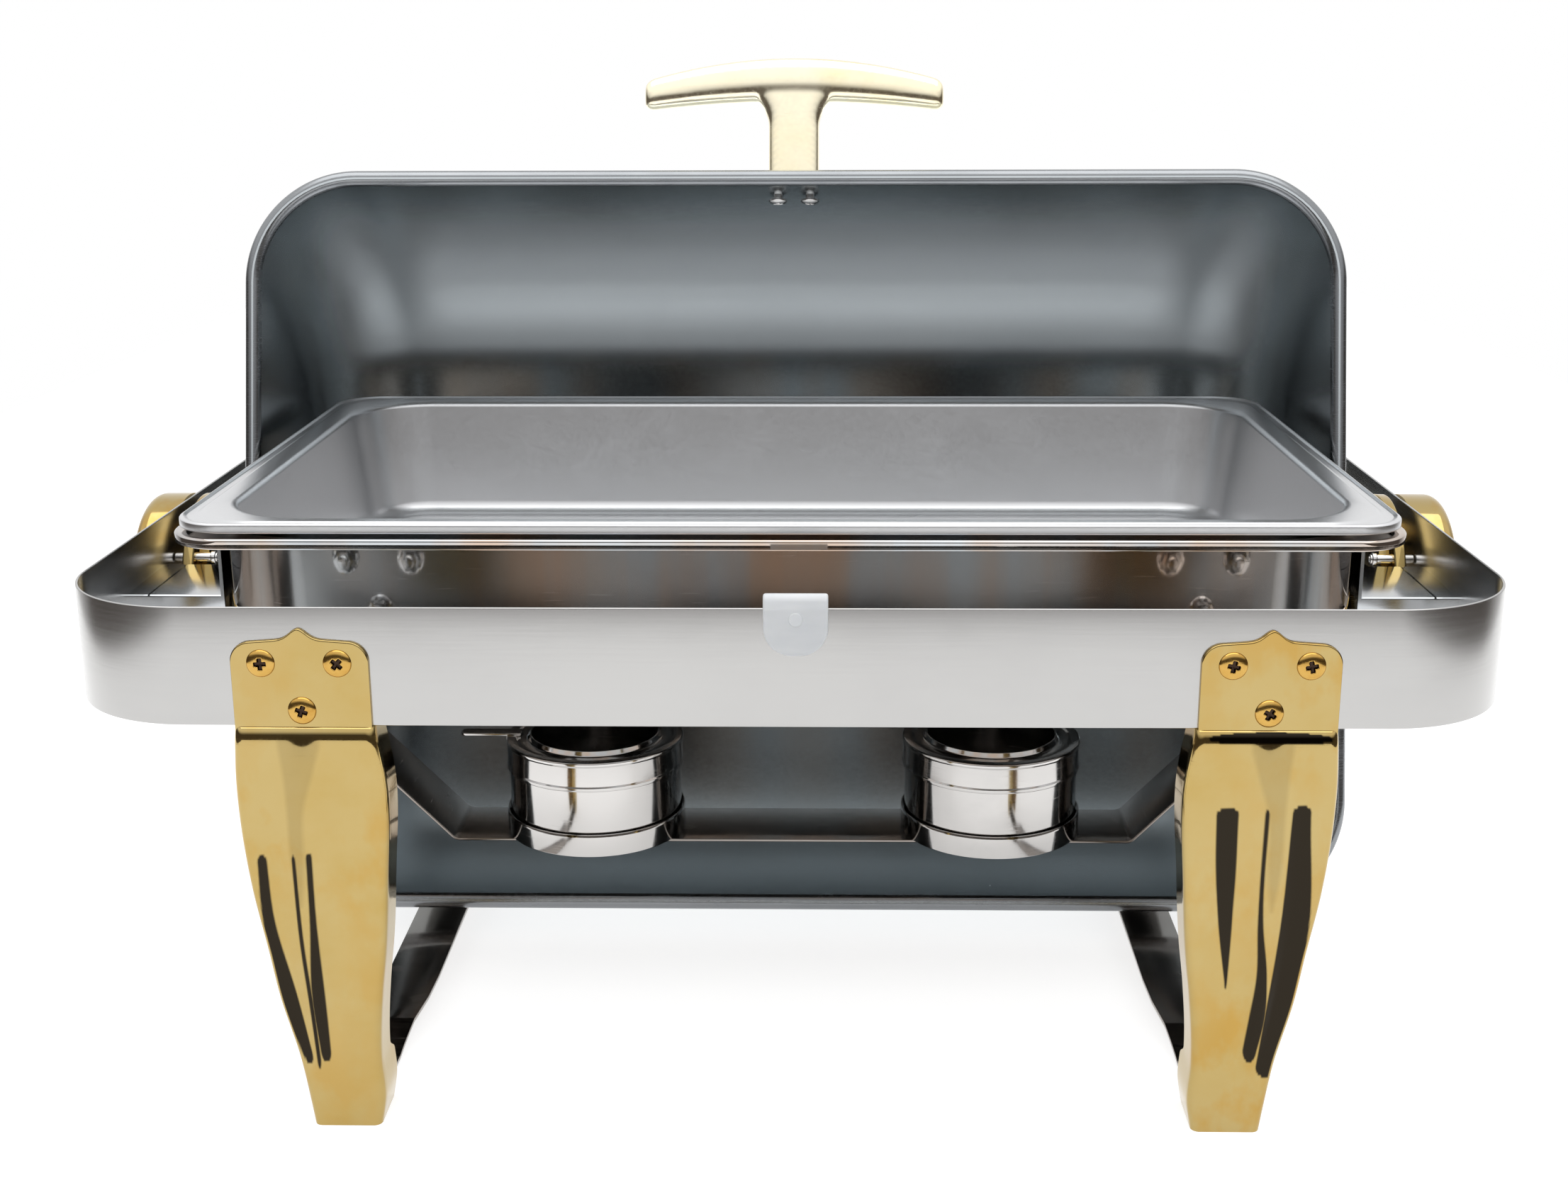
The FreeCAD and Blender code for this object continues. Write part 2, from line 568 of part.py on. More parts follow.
# ---- floor runners -----------------------------------------------------------------------
for side in (-1, 1):
    name = "floor_runner_" + sideNames[side]
    runner = newBody(name)
    shape = newSketch(runner, name + "_shape", "XY_Plane", 0)
    inner = size["runner_inner"]
    outer = inner + size["runner_wide"]
    neckInner = inner + size["runner_step"]
    neckOuter = neckInner + size["runner_neck"]
    end = size["band_half_depth"] + size["leg_step"]
    waist = size["band_half_depth"] - size["foot_flange"] - 8
    foot = waist - size["runner_ramp"]
    full = foot - size["runner_ramp"]
    drawLoop(shape, [(inner * side, -full), (neckInner * side, -foot), (neckInner * side, -end),
                     (neckOuter * side, -end), (neckOuter * side, -waist), (outer * side, -full),
                     (outer * side, full), (neckOuter * side, waist), (neckOuter * side, end),
                     (neckInner * side, end), (neckInner * side, foot), (inner * side, full)])
    thick = size["runner_thick"]
    rise = size["runner_rise"]
    grow(runner, shape, thick + rise)
    across = sideStart(side, inner - 1, size["runner_wide"] + 2)
    under = newSketch(runner, name + "_under", "YZ_Plane", across)
    drawLoop(under, [(-foot, 0), (-full, rise), (full, rise), (foot, 0), (foot, -1), (-foot, -1)])
    cut(runner, under, size["runner_wide"] + 2)
    over = newSketch(runner, name + "_over", "YZ_Plane", across)
    for endSide in (-1, 1):
        drawLoop(over, [(full * endSide, thick + rise), (foot * endSide, thick),
                        ((end + 1) * endSide, thick), ((end + 1) * endSide, thick + rise + 1),
                        (full * endSide, thick + rise + 1)])
    cut(runner, over, size["runner_wide"] + 2)

# ---- fuel shelf with its two seat rings ----------------------------------------------------
shelf = newBody("fuel_shelf")
strip = newSketch(shelf, "ShelfStrip", "XZ_Plane", -size["shelf_half_depth"])
thick = size["shelf_sheet"]
under = size["shelf_top"] - thick
hang = size["ledge_inner"]
topEnd = size["ledge_top"] - size["ledge_sheet"]
drawLoop(strip, [(-size["shelf_flat"], size["shelf_top"]), (-hang, size["shelf_knee"]), (-hang, topEnd),
                 (-hang - thick, topEnd), (-hang - thick, size["shelf_knee"] - thick * 0.4),
                 (-size["shelf_flat"] - thick * 0.4, under), (size["shelf_flat"] + thick * 0.4, under),
                 (hang + thick, size["shelf_knee"] - thick * 0.4), (hang + thick, topEnd), (hang, topEnd),
                 (hang, size["shelf_knee"]), (size["shelf_flat"], size["shelf_top"])])
grow(shelf, strip, size["shelf_half_depth"] * 2)

for side in (-1, 1):
    name = "seat_ring_" + sideNames[side]
    ring = newBody(name)
    ringSketch = newSketch(ring, name + "_ring", "XY_Plane", size["shelf_top"])
    place = (size["burner_place"] * side, 0)
    inside = size["burner_radius"] + size["ring_gap"]
    drawCircle(ringSketch, place, inside + size["ring_sheet"])
    drawCircle(ringSketch, place, inside)
    grow(ring, ringSketch, size["ring_high"])

    name = "fuel_cup_" + sideNames[side]
    cup = newBody(name)
    cupSketch = newSketch(cup, name + "_outside", "XY_Plane", size["shelf_top"])
    drawCircle(cupSketch, place, size["burner_radius"])
    grow(cup, cupSketch, size["burner_high"])
    insideSketch = newSketch(cup, name + "_inside", "XY_Plane", size["shelf_top"] + size["burner_sheet"])
    drawCircle(insideSketch, place, size["burner_radius"] - size["burner_sheet"])
    cut(cup, insideSketch, size["burner_high"])

    name = "fuel_lid_" + sideNames[side]
    lid = newBody(name)
    skirtLow = size["shelf_top"] + size["burner_high"] - size["lid_skirt"]
    skirt = newSketch(lid, name + "_skirt", "XY_Plane", skirtLow)
    lidOuter = size["burner_radius"] + size["lid_gap"] + size["lid_sheet"]
    drawCircle(skirt, place, lidOuter)
    grow(lid, skirt, size["lid_skirt"] + size["lid_sheet"])
    collar = newSketch(lid, name + "_collar", "XY_Plane", skirtLow + size["lid_skirt"])
    drawCircle(collar, place, size["lid_opening"] + size["lid_sheet"])
    grow(lid, collar, size["lid_sheet"] + size["lid_neck"])
    well = newSketch(lid, name + "_well", "XY_Plane", skirtLow - 1)
    drawCircle(well, place, size["burner_radius"] + size["lid_gap"])
    cut(lid, well, size["lid_skirt"] + 1)
    flame = newSketch(lid, name + "_flame", "XY_Plane", skirtLow)
    drawCircle(flame, place, size["lid_opening"])
    cut(lid, flame, size["lid_skirt"] + size["lid_sheet"] + size["lid_neck"] + 1)
    grip = newSketch(lid, name + "_grip", "XY_Plane", skirtLow + size["lid_skirt"])
    half = size["grip_wide"] / 2
    if side < 0:
        near = place[0] - size["lid_opening"] - 4
        far = place[0] - lidOuter - size["grip_long"]
        drawLoop(grip, [(far, -half), (near, -half), (near, half), (far, half)])
    else:
        near = size["lid_opening"] + 4
        far = lidOuter + size["grip_long"]
        drawLoop(grip, [(place[0] - half, near), (place[0] + half, near),
                        (place[0] + half, far), (place[0] - half, far)])
    grow(lid, grip, size["lid_sheet"] * 2)

# ---- hinges ------------------------------------------------------------------------------
hubSpot = (-size["hub_forward"], size["pivot_height"] - size["hub_below"])
pivotSpot = (asSize(0), size["pivot_height"])
pinSpot = (-size["pin_forward"], size["pivot_height"] + size["pin_above"])
discNear = size["plate_inner"]
seatNear = size["seat_near"]
wallInner = size["band_half_width"] - size["band_thick"]
for side in (-1, 1):
    name = "hinge_seat_" + sideNames[side]
    seat = newBody(name)
    face = newSketch(seat, name + "_disc", "YZ_Plane", sideStart(side, seatNear, size["seat_thick"]))
    drawCircle(face, hubSpot, size["hub_radius"])
    grow(seat, face, size["seat_thick"])
    bossThick = wallInner - seatNear
    boss = newSketch(seat, name + "_boss", "YZ_Plane", sideStart(side, seatNear, bossThick))
    drawCircle(boss, pivotSpot, size["axle_radius"] * 2.6)
    grow(seat, boss, bossThick)
    bore = newSketch(seat, name + "_bore", "YZ_Plane", sideStart(side, seatNear - 1, bossThick + 2))
    drawCircle(bore, pivotSpot, size["axle_radius"])
    drawCircle(bore, pinSpot, size["pin_radius"])
    cut(seat, bore, bossThick + 2)

    name = "hinge_cap_" + sideNames[side]
    cap = newBody(name)
    dome = newSketch(cap, name + "_dome", "YZ_Plane",
                     sideStart(side, size["band_half_width"], size["cap_thick"]))
    drawCircle(dome, hubSpot, size["hub_radius"])
    grow(cap, dome, size["cap_thick"])
    outerFace = (size["band_half_width"] + size["cap_thick"]).value * side
    dress(cap, "PartDesign::Fillet", cap.Tip, lambda edge: liesIn(edge, 0, outerFace),
          "Radius", size["cap_round"])
    socket = newSketch(cap, name + "_socket", "YZ_Plane",
                       sideStart(side, size["band_half_width"] - 1, size["cap_thick"] * 0.5 + 1))
    drawCircle(socket, pivotSpot, size["axle_radius"])
    cut(cap, socket, size["cap_thick"] * 0.5 + 1)

    name = "hinge_axle_" + sideNames[side]
    axle = newBody(name)
    axleNear = discNear - 0.3
    axleFar = size["band_half_width"] + size["cap_thick"] * 0.5
    rod = newSketch(axle, name + "_rod", "YZ_Plane", sideStart(side, axleNear, axleFar - axleNear))
    drawCircle(rod, pivotSpot, size["axle_radius"])
    grow(axle, rod, axleFar - axleNear)
    headSlab = newSketch(axle, name + "_head", "YZ_Plane", sideStart(side, axleNear - 1.8, asSize(1.8)))
    drawCircle(headSlab, pivotSpot, size["axle_head"])
    grow(axle, headSlab, 1.8)

    name = "stop_pin_" + sideNames[side]
    pin = newBody(name)
    pinLong = wallInner - 0.4 - size["pin_inner"]
    pinRod = newSketch(pin, name + "_rod", "YZ_Plane", sideStart(side, size["pin_inner"], pinLong))
    drawCircle(pinRod, pinSpot, size["pin_radius"])
    grow(pin, pinRod, pinLong)
    collarSlab = newSketch(pin, name + "_collar", "YZ_Plane",
                           sideStart(side, size["pin_inner"] + 0.8, asSize(2.4)))
    drawCircle(collarSlab, pinSpot, size["pin_collar"])
    grow(pin, collarSlab, 2.4)

# ---- bumper clip -------------------------------------------------------------------------
clip = newBody("bumper_clip")
clipDepth = size["band_thick"] + size["clip_wall"] * 2
tongue = newSketch(clip, "ClipTongue", "XZ_Plane", size["band_half_depth"] - size["band_thick"] - size["clip_wall"])
clipLeft = size["clip_shift"] - size["clip_half"]
clipRight = size["clip_shift"] + size["clip_half"]
drawLoop(tongue, [(clipLeft, size["clip_low"]), (clipRight, size["clip_low"]),
                  (clipRight, size["clip_top"]), (clipLeft, size["clip_top"])])
grow(clip, tongue, clipDepth)
clipLow = size["clip_low"].value
dress(clip, "PartDesign::Fillet", clip.Tip,
      lambda edge: edge.BoundBox.XLength < 0.01 and liesIn(edge, 2, clipLow), "Radius", size["clip_round"])
slot = newSketch(clip, "ClipSlot", "XZ_Plane", size["band_half_depth"] - size["band_thick"])
drawLoop(slot, [(clipLeft - 1, size["clip_low"] - 1), (clipRight + 1, size["clip_low"] - 1),
                (clipRight + 1, bandTop), (clipLeft - 1, bandTop)])
cut(clip, slot, size["band_thick"])

# ---- pans --------------------------------------------------------------------------------
def loftBetween(body, name, kind, upper, lower):
    """Loft between two rounded outlines given as (height, half across, half up, corner)."""
    drawn = []
    for label, (height, across, up, corner) in (("top", upper), ("bottom", lower)):
        sketch = newSketch(body, name + "_" + label, "XY_Plane", height)
        drawRounded(sketch, across, up, corner)
        drawn.append(sketch)
    feature = body.newObject(kind, name)
    feature.Profile = drawn[0]
    feature.Sections = [drawn[1]]
    feature.Ruled = True
    doc.recompute()
    return feature


def makePan(name, rim, rimCorner, wallTop, wall, corner, bottom, draft, flangeTop, lipDeep):
    """Stamped pan: leaning wall, flat flange and turned-down lip."""
    pan = newBody(name)
    gauge = size["pan_sheet"]
    loftBetween(pan, name + "_outside", "PartDesign::AdditiveLoft",
                (wallTop, wall[0], wall[1], corner),
                (bottom, wall[0] - draft, wall[1] - draft, corner - draft))
    loftBetween(pan, name + "_inside", "PartDesign::SubtractiveLoft",
                (wallTop, wall[0] - gauge, wall[1] - gauge, corner - gauge),
                (bottom + gauge, wall[0] - draft - gauge, wall[1] - draft - gauge, corner - draft - gauge))
    insideFloor = (bottom + gauge).value
    dress(pan, "PartDesign::Fillet", pan.Tip, lambda edge: liesIn(edge, 2, insideFloor),
          "Radius", size["pan_floor_round"] - gauge)
    floorAt = bottom.value
    dress(pan, "PartDesign::Fillet", pan.Tip, lambda edge: liesIn(edge, 2, floorAt),
          "Radius", size["pan_floor_round"])
    flange = newSketch(pan, name + "_flange", "XY_Plane", flangeTop - size["rim_sheet"])
    drawRounded(flange, rim[0], rim[1], rimCorner)
    drawRounded(flange, wall[0] - gauge, wall[1] - gauge, corner - gauge)
    grow(pan, flange, size["rim_sheet"])
    lip = newSketch(pan, name + "_lip", "XY_Plane", flangeTop - lipDeep)
    drawRounded(lip, rim[0], rim[1], rimCorner)
    drawRounded(lip, rim[0] - size["lip_sheet"], rim[1] - size["lip_sheet"], rimCorner - size["lip_sheet"])
    grow(pan, lip, lipDeep)
    rimTop = flangeTop.value
    outsideLimit = (wall[0].value + 3, wall[1].value + 3)
    dress(pan, "PartDesign::Fillet", pan.Tip,
          lambda edge: liesIn(edge, 2, rimTop) and (edge.BoundBox.XMax > outsideLimit[0]
                                                    or edge.BoundBox.XMin < -outsideLimit[0]
                                                    or edge.BoundBox.YMax > outsideLimit[1]
                                                    or edge.BoundBox.YMin < -outsideLimit[1]),
          "Radius", 0.9)
    return pan


foodRim = (size["pan_half_length"], size["pan_half_depth"])
foodWall = (foodRim[0] - size["pan_flange"], foodRim[1] - size["pan_flange"])
makePan("food_pan", foodRim, size["rim_corner"], size["pan_rim_top"], foodWall, size["pan_corner"],
        size["pan_rim_top"] - size["pan_deep"], size["pan_draft"], size["pan_rim_top"], size["rim_lip"])
bathRim = (foodRim[0] + size["bath_over"], foodRim[1] + size["bath_over"])
bathWall = (foodWall[0] + size["bath_gap"], foodWall[1] + size["bath_gap"])
makePan("water_pan", bathRim, size["rim_corner"] + size["bath_over"],
        size["pan_rim_top"] - size["rim_sheet"], bathWall, size["pan_corner"] + size["bath_gap"],
        size["bath_bottom"], size["pan_draft"], size["bath_rim_top"], size["bath_lip"])


# ---- cover pieces, drawn closed about the hinge line -------------------------------------
def turnOpen(body):
    body.Placement = FreeCAD.Placement(
        FreeCAD.Vector(0, 0, size["pivot_height"].value),
        FreeCAD.Rotation(FreeCAD.Vector(1, 0, 0), -size["open_angle"].value))
    bind(body, "Placement.Base.z", size["pivot_height"])
    bind(body, "Placement.Rotation.Angle", -size["open_angle"])


cover = newBody("cover_shell")
dome = newSketch(cover, "CoverDome", "YZ_Plane", -size["cover_half_width"])
radius = size["cover_radius"]
lift = size["cover_lift"]
arcGeometry = dome.addGeometry(Part.ArcOfCircle(
    Part.Circle(FreeCAD.Vector(0, lift.value, 0), FreeCAD.Vector(0, 0, 1), radius.value), 0, math.pi), False)
lineGeometry = dome.addGeometry(Part.LineSegment(
    FreeCAD.Vector(-radius.value, lift.value, 0), FreeCAD.Vector(radius.value, lift.value, 0)), False)
dome.addConstraint(Sketcher.Constraint("Coincident", arcGeometry, 2, lineGeometry, 1))
dome.addConstraint(Sketcher.Constraint("Coincident", arcGeometry, 1, lineGeometry, 2))
pinPoint(dome, arcGeometry, 3, (0, lift))
pinPoint(dome, lineGeometry, 1, (-radius, lift))
dome.addConstraint(Sketcher.Constraint("Horizontal", lineGeometry))
domeSolid = grow(cover, dome, size["cover_half_width"] * 2)
halfWidth = size["cover_half_width"].value
roundedDome = dress(cover, "PartDesign::Fillet", domeSolid,
                    lambda edge: abs(abs(edge.BoundBox.XMin) - halfWidth) < 1e-3
                    and edge.BoundBox.XLength < 1e-3 and edge.BoundBox.ZLength > 1,
                    "Radius", size["cover_corner"])
shellFeature = cover.newObject("PartDesign::Thickness", "CoverHollow")
openFaces = []
for number, face in enumerate(roundedDome.Shape.Faces, start=1):
    if face.BoundBox.ZLength < 1e-3:
        openFaces.append("Face%d" % number)
shellFeature.Base = (roundedDome, openFaces)
bind(shellFeature, "Value", size["cover_sheet"])
shellFeature.Reversed = True
shellFeature.Mode = 0
shellFeature.Join = 0
doc.recompute()
beadPath = newSketch(cover, "CoverBeadPath", "XY_Plane", lift + size["bead_radius"])
drawRounded(beadPath, size["cover_half_width"], radius, size["cover_corner"])
beadRound = newSketch(cover, "CoverBeadRound", "YZ_Plane", 0)
drawCircle(beadRound, (-radius, lift + size["bead_radius"]), size["bead_radius"])
bead = cover.newObject("PartDesign::AdditivePipe", "CoverBead")
bead.Profile = beadRound
bead.Spine = (beadPath, [])
doc.recompute()
handleHoles = newSketch(cover, "CoverHandleHoles", "XZ_Plane", size["cover_radius"] - 25)
for shift in (-1, 1):
    drawCircle(handleHoles, (size["screw_gap"] * shift, size["screw_up"]), size["screw_shank"])
cut(cover, handleHoles, 30)
turnOpen(cover)

handle = newBody("cover_handle")
barSketch = newSketch(handle, "HandleBar", "XY_Plane", size["handle_low"])


def drawArc(sketch, start, end, bulge):
    """Arc through start, the bulge spot on the centre line, and end."""
    first = FreeCAD.Vector(start[0].value, start[1].value, 0)
    last = FreeCAD.Vector(end[0].value, end[1].value, 0)
    middle = FreeCAD.Vector(0, bulge.value, 0)
    return sketch.addGeometry(Part.Arc(first, middle, last), False)


half = size["bar_half"]
outerArc = drawArc(barSketch, (-half, -size["bar_outer_end"]), (half, -size["bar_outer_end"]),
                   -size["bar_outer"])
innerArc = drawArc(barSketch, (-half, -size["bar_inner_end"]), (half, -size["bar_inner_end"]),
                   -size["bar_inner"])
for sign in (-1, 1):
    index = barSketch.addGeometry(Part.LineSegment(
        FreeCAD.Vector(half.value * sign, -size["bar_outer_end"].value, 0),
        FreeCAD.Vector(half.value * sign, -size["bar_inner_end"].value, 0)), False)
    pinPoint(barSketch, index, 1, (half * sign, -size["bar_outer_end"]))
    pinPoint(barSketch, index, 2, (half * sign, -size["bar_inner_end"]))
    end = 1 if sign < 0 else 2
    barSketch.addConstraint(Sketcher.Constraint("Coincident", index, 1, outerArc, end))
    barSketch.addConstraint(Sketcher.Constraint("Coincident", index, 2, innerArc, end))
for arc, middle, edge in ((outerArc, "bar_outer", "bar_outer_end"), (innerArc, "bar_inner", "bar_inner_end")):
    sag = size[middle] - size[edge]
    bow = (half * half + sag * sag) / (sag * 2)
    held = barSketch.addConstraint(Sketcher.Constraint("Radius", arc, bow.value))
    bind(barSketch, "Constraints[%d]" % held, bow)
barSolid = grow(handle, barSketch, size["handle_thick"])
dress(handle, "PartDesign::Fillet", barSolid, lambda edge: True, "Radius", size["bar_round"])
stem = newSketch(handle, "HandleStem", "XY_Plane", size["handle_low"])
wide = size["stem_half"]
drawLoop(stem, [(-wide, -size["stem_root"] + 1), (-wide, -size["bar_inner"] + 8),
                (-wide - 8, -size["bar_inner"] - 4), (wide + 8, -size["bar_inner"] - 4),
                (wide, -size["bar_inner"] + 8), (wide, -size["stem_root"] + 1)])
grow(handle, stem, size["handle_thick"])
saddle = newSketch(handle, "HandleSaddle", "YZ_Plane", -size["bar_half"])
drawCircle(saddle, (0, lift), size["cover_radius"])
cut(handle, saddle, size["bar_half"] * 2)
tapped = newSketch(handle, "HandleTapped", "XZ_Plane", size["cover_radius"] - 25)
for shift in (-1, 1):
    drawCircle(tapped, (size["screw_gap"] * shift, size["screw_up"]), size["screw_shank"])
cut(handle, tapped, 38)
turnOpen(handle)

handleScrews = newBody("handle_screws")
shank = newSketch(handleScrews, "HandleScrewShank", "XZ_Plane", size["cover_radius"] - 9)
knob = newSketch(handleScrews, "HandleScrewHead", "XZ_Plane", size["cover_radius"] - 9)
for shift in (-1, 1):
    drawCircle(shank, (size["screw_gap"] * shift, size["screw_up"]), size["screw_shank"])
    drawCircle(knob, (size["screw_gap"] * shift, size["screw_up"]), 5)
grow(handleScrews, shank, 20)
grow(handleScrews, knob, 2.6)
headAt = -(size["cover_radius"].value - 9)
dress(handleScrews, "PartDesign::Fillet", handleScrews.Tip,
      lambda edge: liesIn(edge, 1, headAt), "Radius", 2)
turnOpen(handleScrews)

turn = size["open_angle"]
for side in (-1, 1):
    name = "hinge_disc_" + sideNames[side]
    disc = newBody(name)
    hub = (-size["hub_forward"] * cosine(turn) + size["hub_below"] * sine(turn),
           -size["hub_forward"] * sine(turn) - size["hub_below"] * cosine(turn))
    discStart = sideStart(side, discNear, size["disc_thick"])
    face = newSketch(disc, name + "_disc", "YZ_Plane", discStart)
    drawCircle(face, hub, size["hub_radius"])
    grow(disc, face, size["disc_thick"])
    arm = newSketch(disc, name + "_arm", "YZ_Plane", discStart)
    half = size["arm_radius"]
    drawLoop(arm, [(-half, 0), (half, 0), (half, size["arm_up"] + 12), (half - 6, size["arm_up"] + 18),
                   (-half + 6, size["arm_up"] + 18), (-half, size["arm_up"] + 12)])
    grow(disc, arm, size["disc_thick"])
    padThick = discNear + size["disc_thick"] - size["cover_half_width"]
    pad = newSketch(disc, name + "_pad", "YZ_Plane",
                    sideStart(side, size["cover_half_width"], padThick))
    drawLoop(pad, [(-half + 2, size["arm_up"] - 10), (half - 2, size["arm_up"] - 10),
                   (half - 2, size["arm_up"] + 14), (-half + 2, size["arm_up"] + 14)])
    grow(disc, pad, padThick)
    notch = newSketch(disc, name + "_notch", "YZ_Plane", sideStart(side, discNear - 1, size["disc_thick"] + 2))
    perDegree = 180 / math.pi
    notchEnd = ((size["pin_radius"] - size["pin_above"]) / size["pin_forward"] * perDegree
                + size["notch_end_gap"] + 180 + turn)
    notchStart = turn + 140
    beyond = size["hub_radius"] * 2
    drawLoop(notch, [(size["notch_radius"] * cosine(notchEnd), size["notch_radius"] * sine(notchEnd)),
                     (beyond * cosine(notchEnd), beyond * sine(notchEnd)),
                     (beyond * cosine(notchStart), beyond * sine(notchStart)),
                     (size["notch_radius"] * cosine(notchStart), size["notch_radius"] * sine(notchStart))])
    cut(disc, notch, size["disc_thick"] + 2)
    bore = newSketch(disc, name + "_bore", "YZ_Plane", sideStart(side, discNear - 1, size["disc_thick"] + 2))
    drawCircle(bore, (0, 0), size["axle_radius"] + size["running_gap"])
    cut(disc, bore, size["disc_thick"] + 2)
    turnOpen(disc)

rivets = newBody("cover_rivets")
for side in (-1, 1):
    inner = size["cover_half_width"] - size["cover_sheet"] - 1.6
    shankLong = discNear + size["disc_thick"] - inner
    rod = newSketch(rivets, "RivetShank_" + sideNames[side], "YZ_Plane", sideStart(side, inner, shankLong))
    head = newSketch(rivets, "RivetHead_" + sideNames[side], "YZ_Plane", sideStart(side, inner, asSize(1.6)))
    for shift in (-1, 1):
        drawCircle(rod, (size["arm_radius"] * 0.45 * shift, size["arm_up"] + 2), 2)
        drawCircle(head, (size["arm_radius"] * 0.45 * shift, size["arm_up"] + 2), 4)
    grow(rivets, rod, shankLong)
    grow(rivets, head, 1.6)
turnOpen(rivets)

# the rivets pass through the cover sheet and the discs
for target in ["cover_shell", "hinge_disc_left", "hinge_disc_right"]:
    body = [node for node in nodes if node.Label == target][0]
    hole = newSketch(body, target + "_rivet_holes", "YZ_Plane", -size["band_half_width"])
    for shift in (-1, 1):
        drawCircle(hole, (size["arm_radius"] * 0.45 * shift, size["arm_up"] + 2), 2)
    cut(body, hole, size["band_half_width"] * 2)

# ---- check and write ---------------------------------------------------------------------
doc.recompute()
problems = []
for thing in doc.Objects:
    for word in thing.State:
        if word in ("Invalid", "Error"):
            problems.append("%s: %s" % (thing.Name, word))
for body in nodes:
    if body.Shape.isNull() or not body.Shape.isValid():
        problems.append(body.Label + ": bad shape")
if problems:
    raise RuntimeError("; ".join(problems))
os.makedirs("parts", exist_ok=True)
for body in nodes:
    body.Shape.exportStep("parts/%s.step" % body.Label)
    print("%-20s %2d solid(s) %10.0f mm3" % (body.Label, len(body.Shape.Solids), body.Shape.Volume))
print(len(nodes), "nodes written")
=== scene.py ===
import bmesh
import bpy
import math
import numpy as np
from mathutils import Matrix, Vector


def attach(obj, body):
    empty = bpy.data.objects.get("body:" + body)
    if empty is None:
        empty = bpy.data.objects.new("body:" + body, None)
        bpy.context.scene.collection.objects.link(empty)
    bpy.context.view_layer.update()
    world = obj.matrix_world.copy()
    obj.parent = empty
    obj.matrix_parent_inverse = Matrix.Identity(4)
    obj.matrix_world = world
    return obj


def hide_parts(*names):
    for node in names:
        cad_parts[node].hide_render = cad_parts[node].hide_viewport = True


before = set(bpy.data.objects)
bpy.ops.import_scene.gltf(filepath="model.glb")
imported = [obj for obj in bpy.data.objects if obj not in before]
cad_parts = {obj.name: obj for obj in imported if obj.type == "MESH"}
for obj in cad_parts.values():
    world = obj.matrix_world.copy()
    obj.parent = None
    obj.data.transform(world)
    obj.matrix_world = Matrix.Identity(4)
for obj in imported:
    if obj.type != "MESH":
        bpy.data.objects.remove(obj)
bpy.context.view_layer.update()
scene = bpy.context.scene
mm = 0.001
print("frame loaded:", len(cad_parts), "nodes")


def gridQuads(rows, columns, wrapRows=False, wrapColumns=False):
    # four neighbours of every grid cell, with the last row or column joined to the first on request
    row, column = np.meshgrid(np.arange(rows if wrapRows else rows - 1),
                              np.arange(columns if wrapColumns else columns - 1), indexing="ij")
    nextRow, nextColumn = (row + 1) % rows, (column + 1) % columns
    return np.stack([row * columns + column, row * columns + nextColumn,
                     nextRow * columns + nextColumn, nextRow * columns + column], axis=-1).reshape(-1, 4)


def surface(points, wrapRows=False, wrapColumns=False, extraFaces=()):
    rows, columns = points.shape[:2]
    faces = gridQuads(rows, columns, wrapRows, wrapColumns).tolist()
    return points.reshape(-1, 3), faces + [list(face) for face in extraFaces]


def stripCap(first, count):
    # closes the end of a hollow wall whose loop runs out along one skin and back along the other
    outer = first + np.arange(count)
    inner = first + 2 * count - 1 - np.arange(count)
    return np.stack([outer[:-1], outer[1:], inner[1:], inner[:-1]], axis=-1).tolist()


def endCaps(rows, columns):
    # one flat face over the first row and one over the last
    return [list(range(columns)), list(range((rows - 1) * columns, rows * columns))]


def filleted(corners, closed=False, steps=6):
    # straight runs between the corners, each corner (a, b, radius) turned by an arc of its radius
    spots = np.array([corner[:2] for corner in corners], float)
    line = []
    for i, corner in enumerate(corners):
        radius = corner[2] if len(corner) > 2 else 0
        if radius == 0 or (not closed and i in (0, len(corners) - 1)):
            line.append(spots[i])
            continue
        back = spots[i - 1] - spots[i]
        ahead = spots[(i + 1) % len(spots)] - spots[i]
        back /= np.linalg.norm(back)
        ahead /= np.linalg.norm(ahead)
        half = math.acos(np.clip(back @ ahead, -1, 1)) / 2
        middle = spots[i] + (back + ahead) / np.linalg.norm(back + ahead) * radius / math.sin(half)
        start = spots[i] + back * radius / math.tan(half) - middle
        end = spots[i] + ahead * radius / math.tan(half) - middle
        turn = math.pi - 2 * half
        part = np.linspace(0, 1, steps + 1)[:, None]
        line.extend(middle + (np.sin((1 - part) * turn) * start + np.sin(part * turn) * end) / math.sin(turn))
    return np.array(line)


def smoothThrough(knots, values, at):
    # cubic through the knots, its slope at each knot the mean of the slopes beside it
    knots, values = np.array(knots, float), np.array(values, float)
    slopes = np.gradient(values, knots)
    cell = np.clip(np.searchsorted(knots, at) - 1, 0, len(knots) - 2)
    width = knots[cell + 1] - knots[cell]
    s = np.clip((at - knots[cell]) / width, 0, 1)
    return ((2 * s**3 - 3 * s**2 + 1) * values[cell] + (s**3 - 2 * s**2 + s) * width * slopes[cell]
            + (3 * s**2 - 2 * s**3) * values[cell + 1] + (s**3 - s**2) * width * slopes[cell + 1])


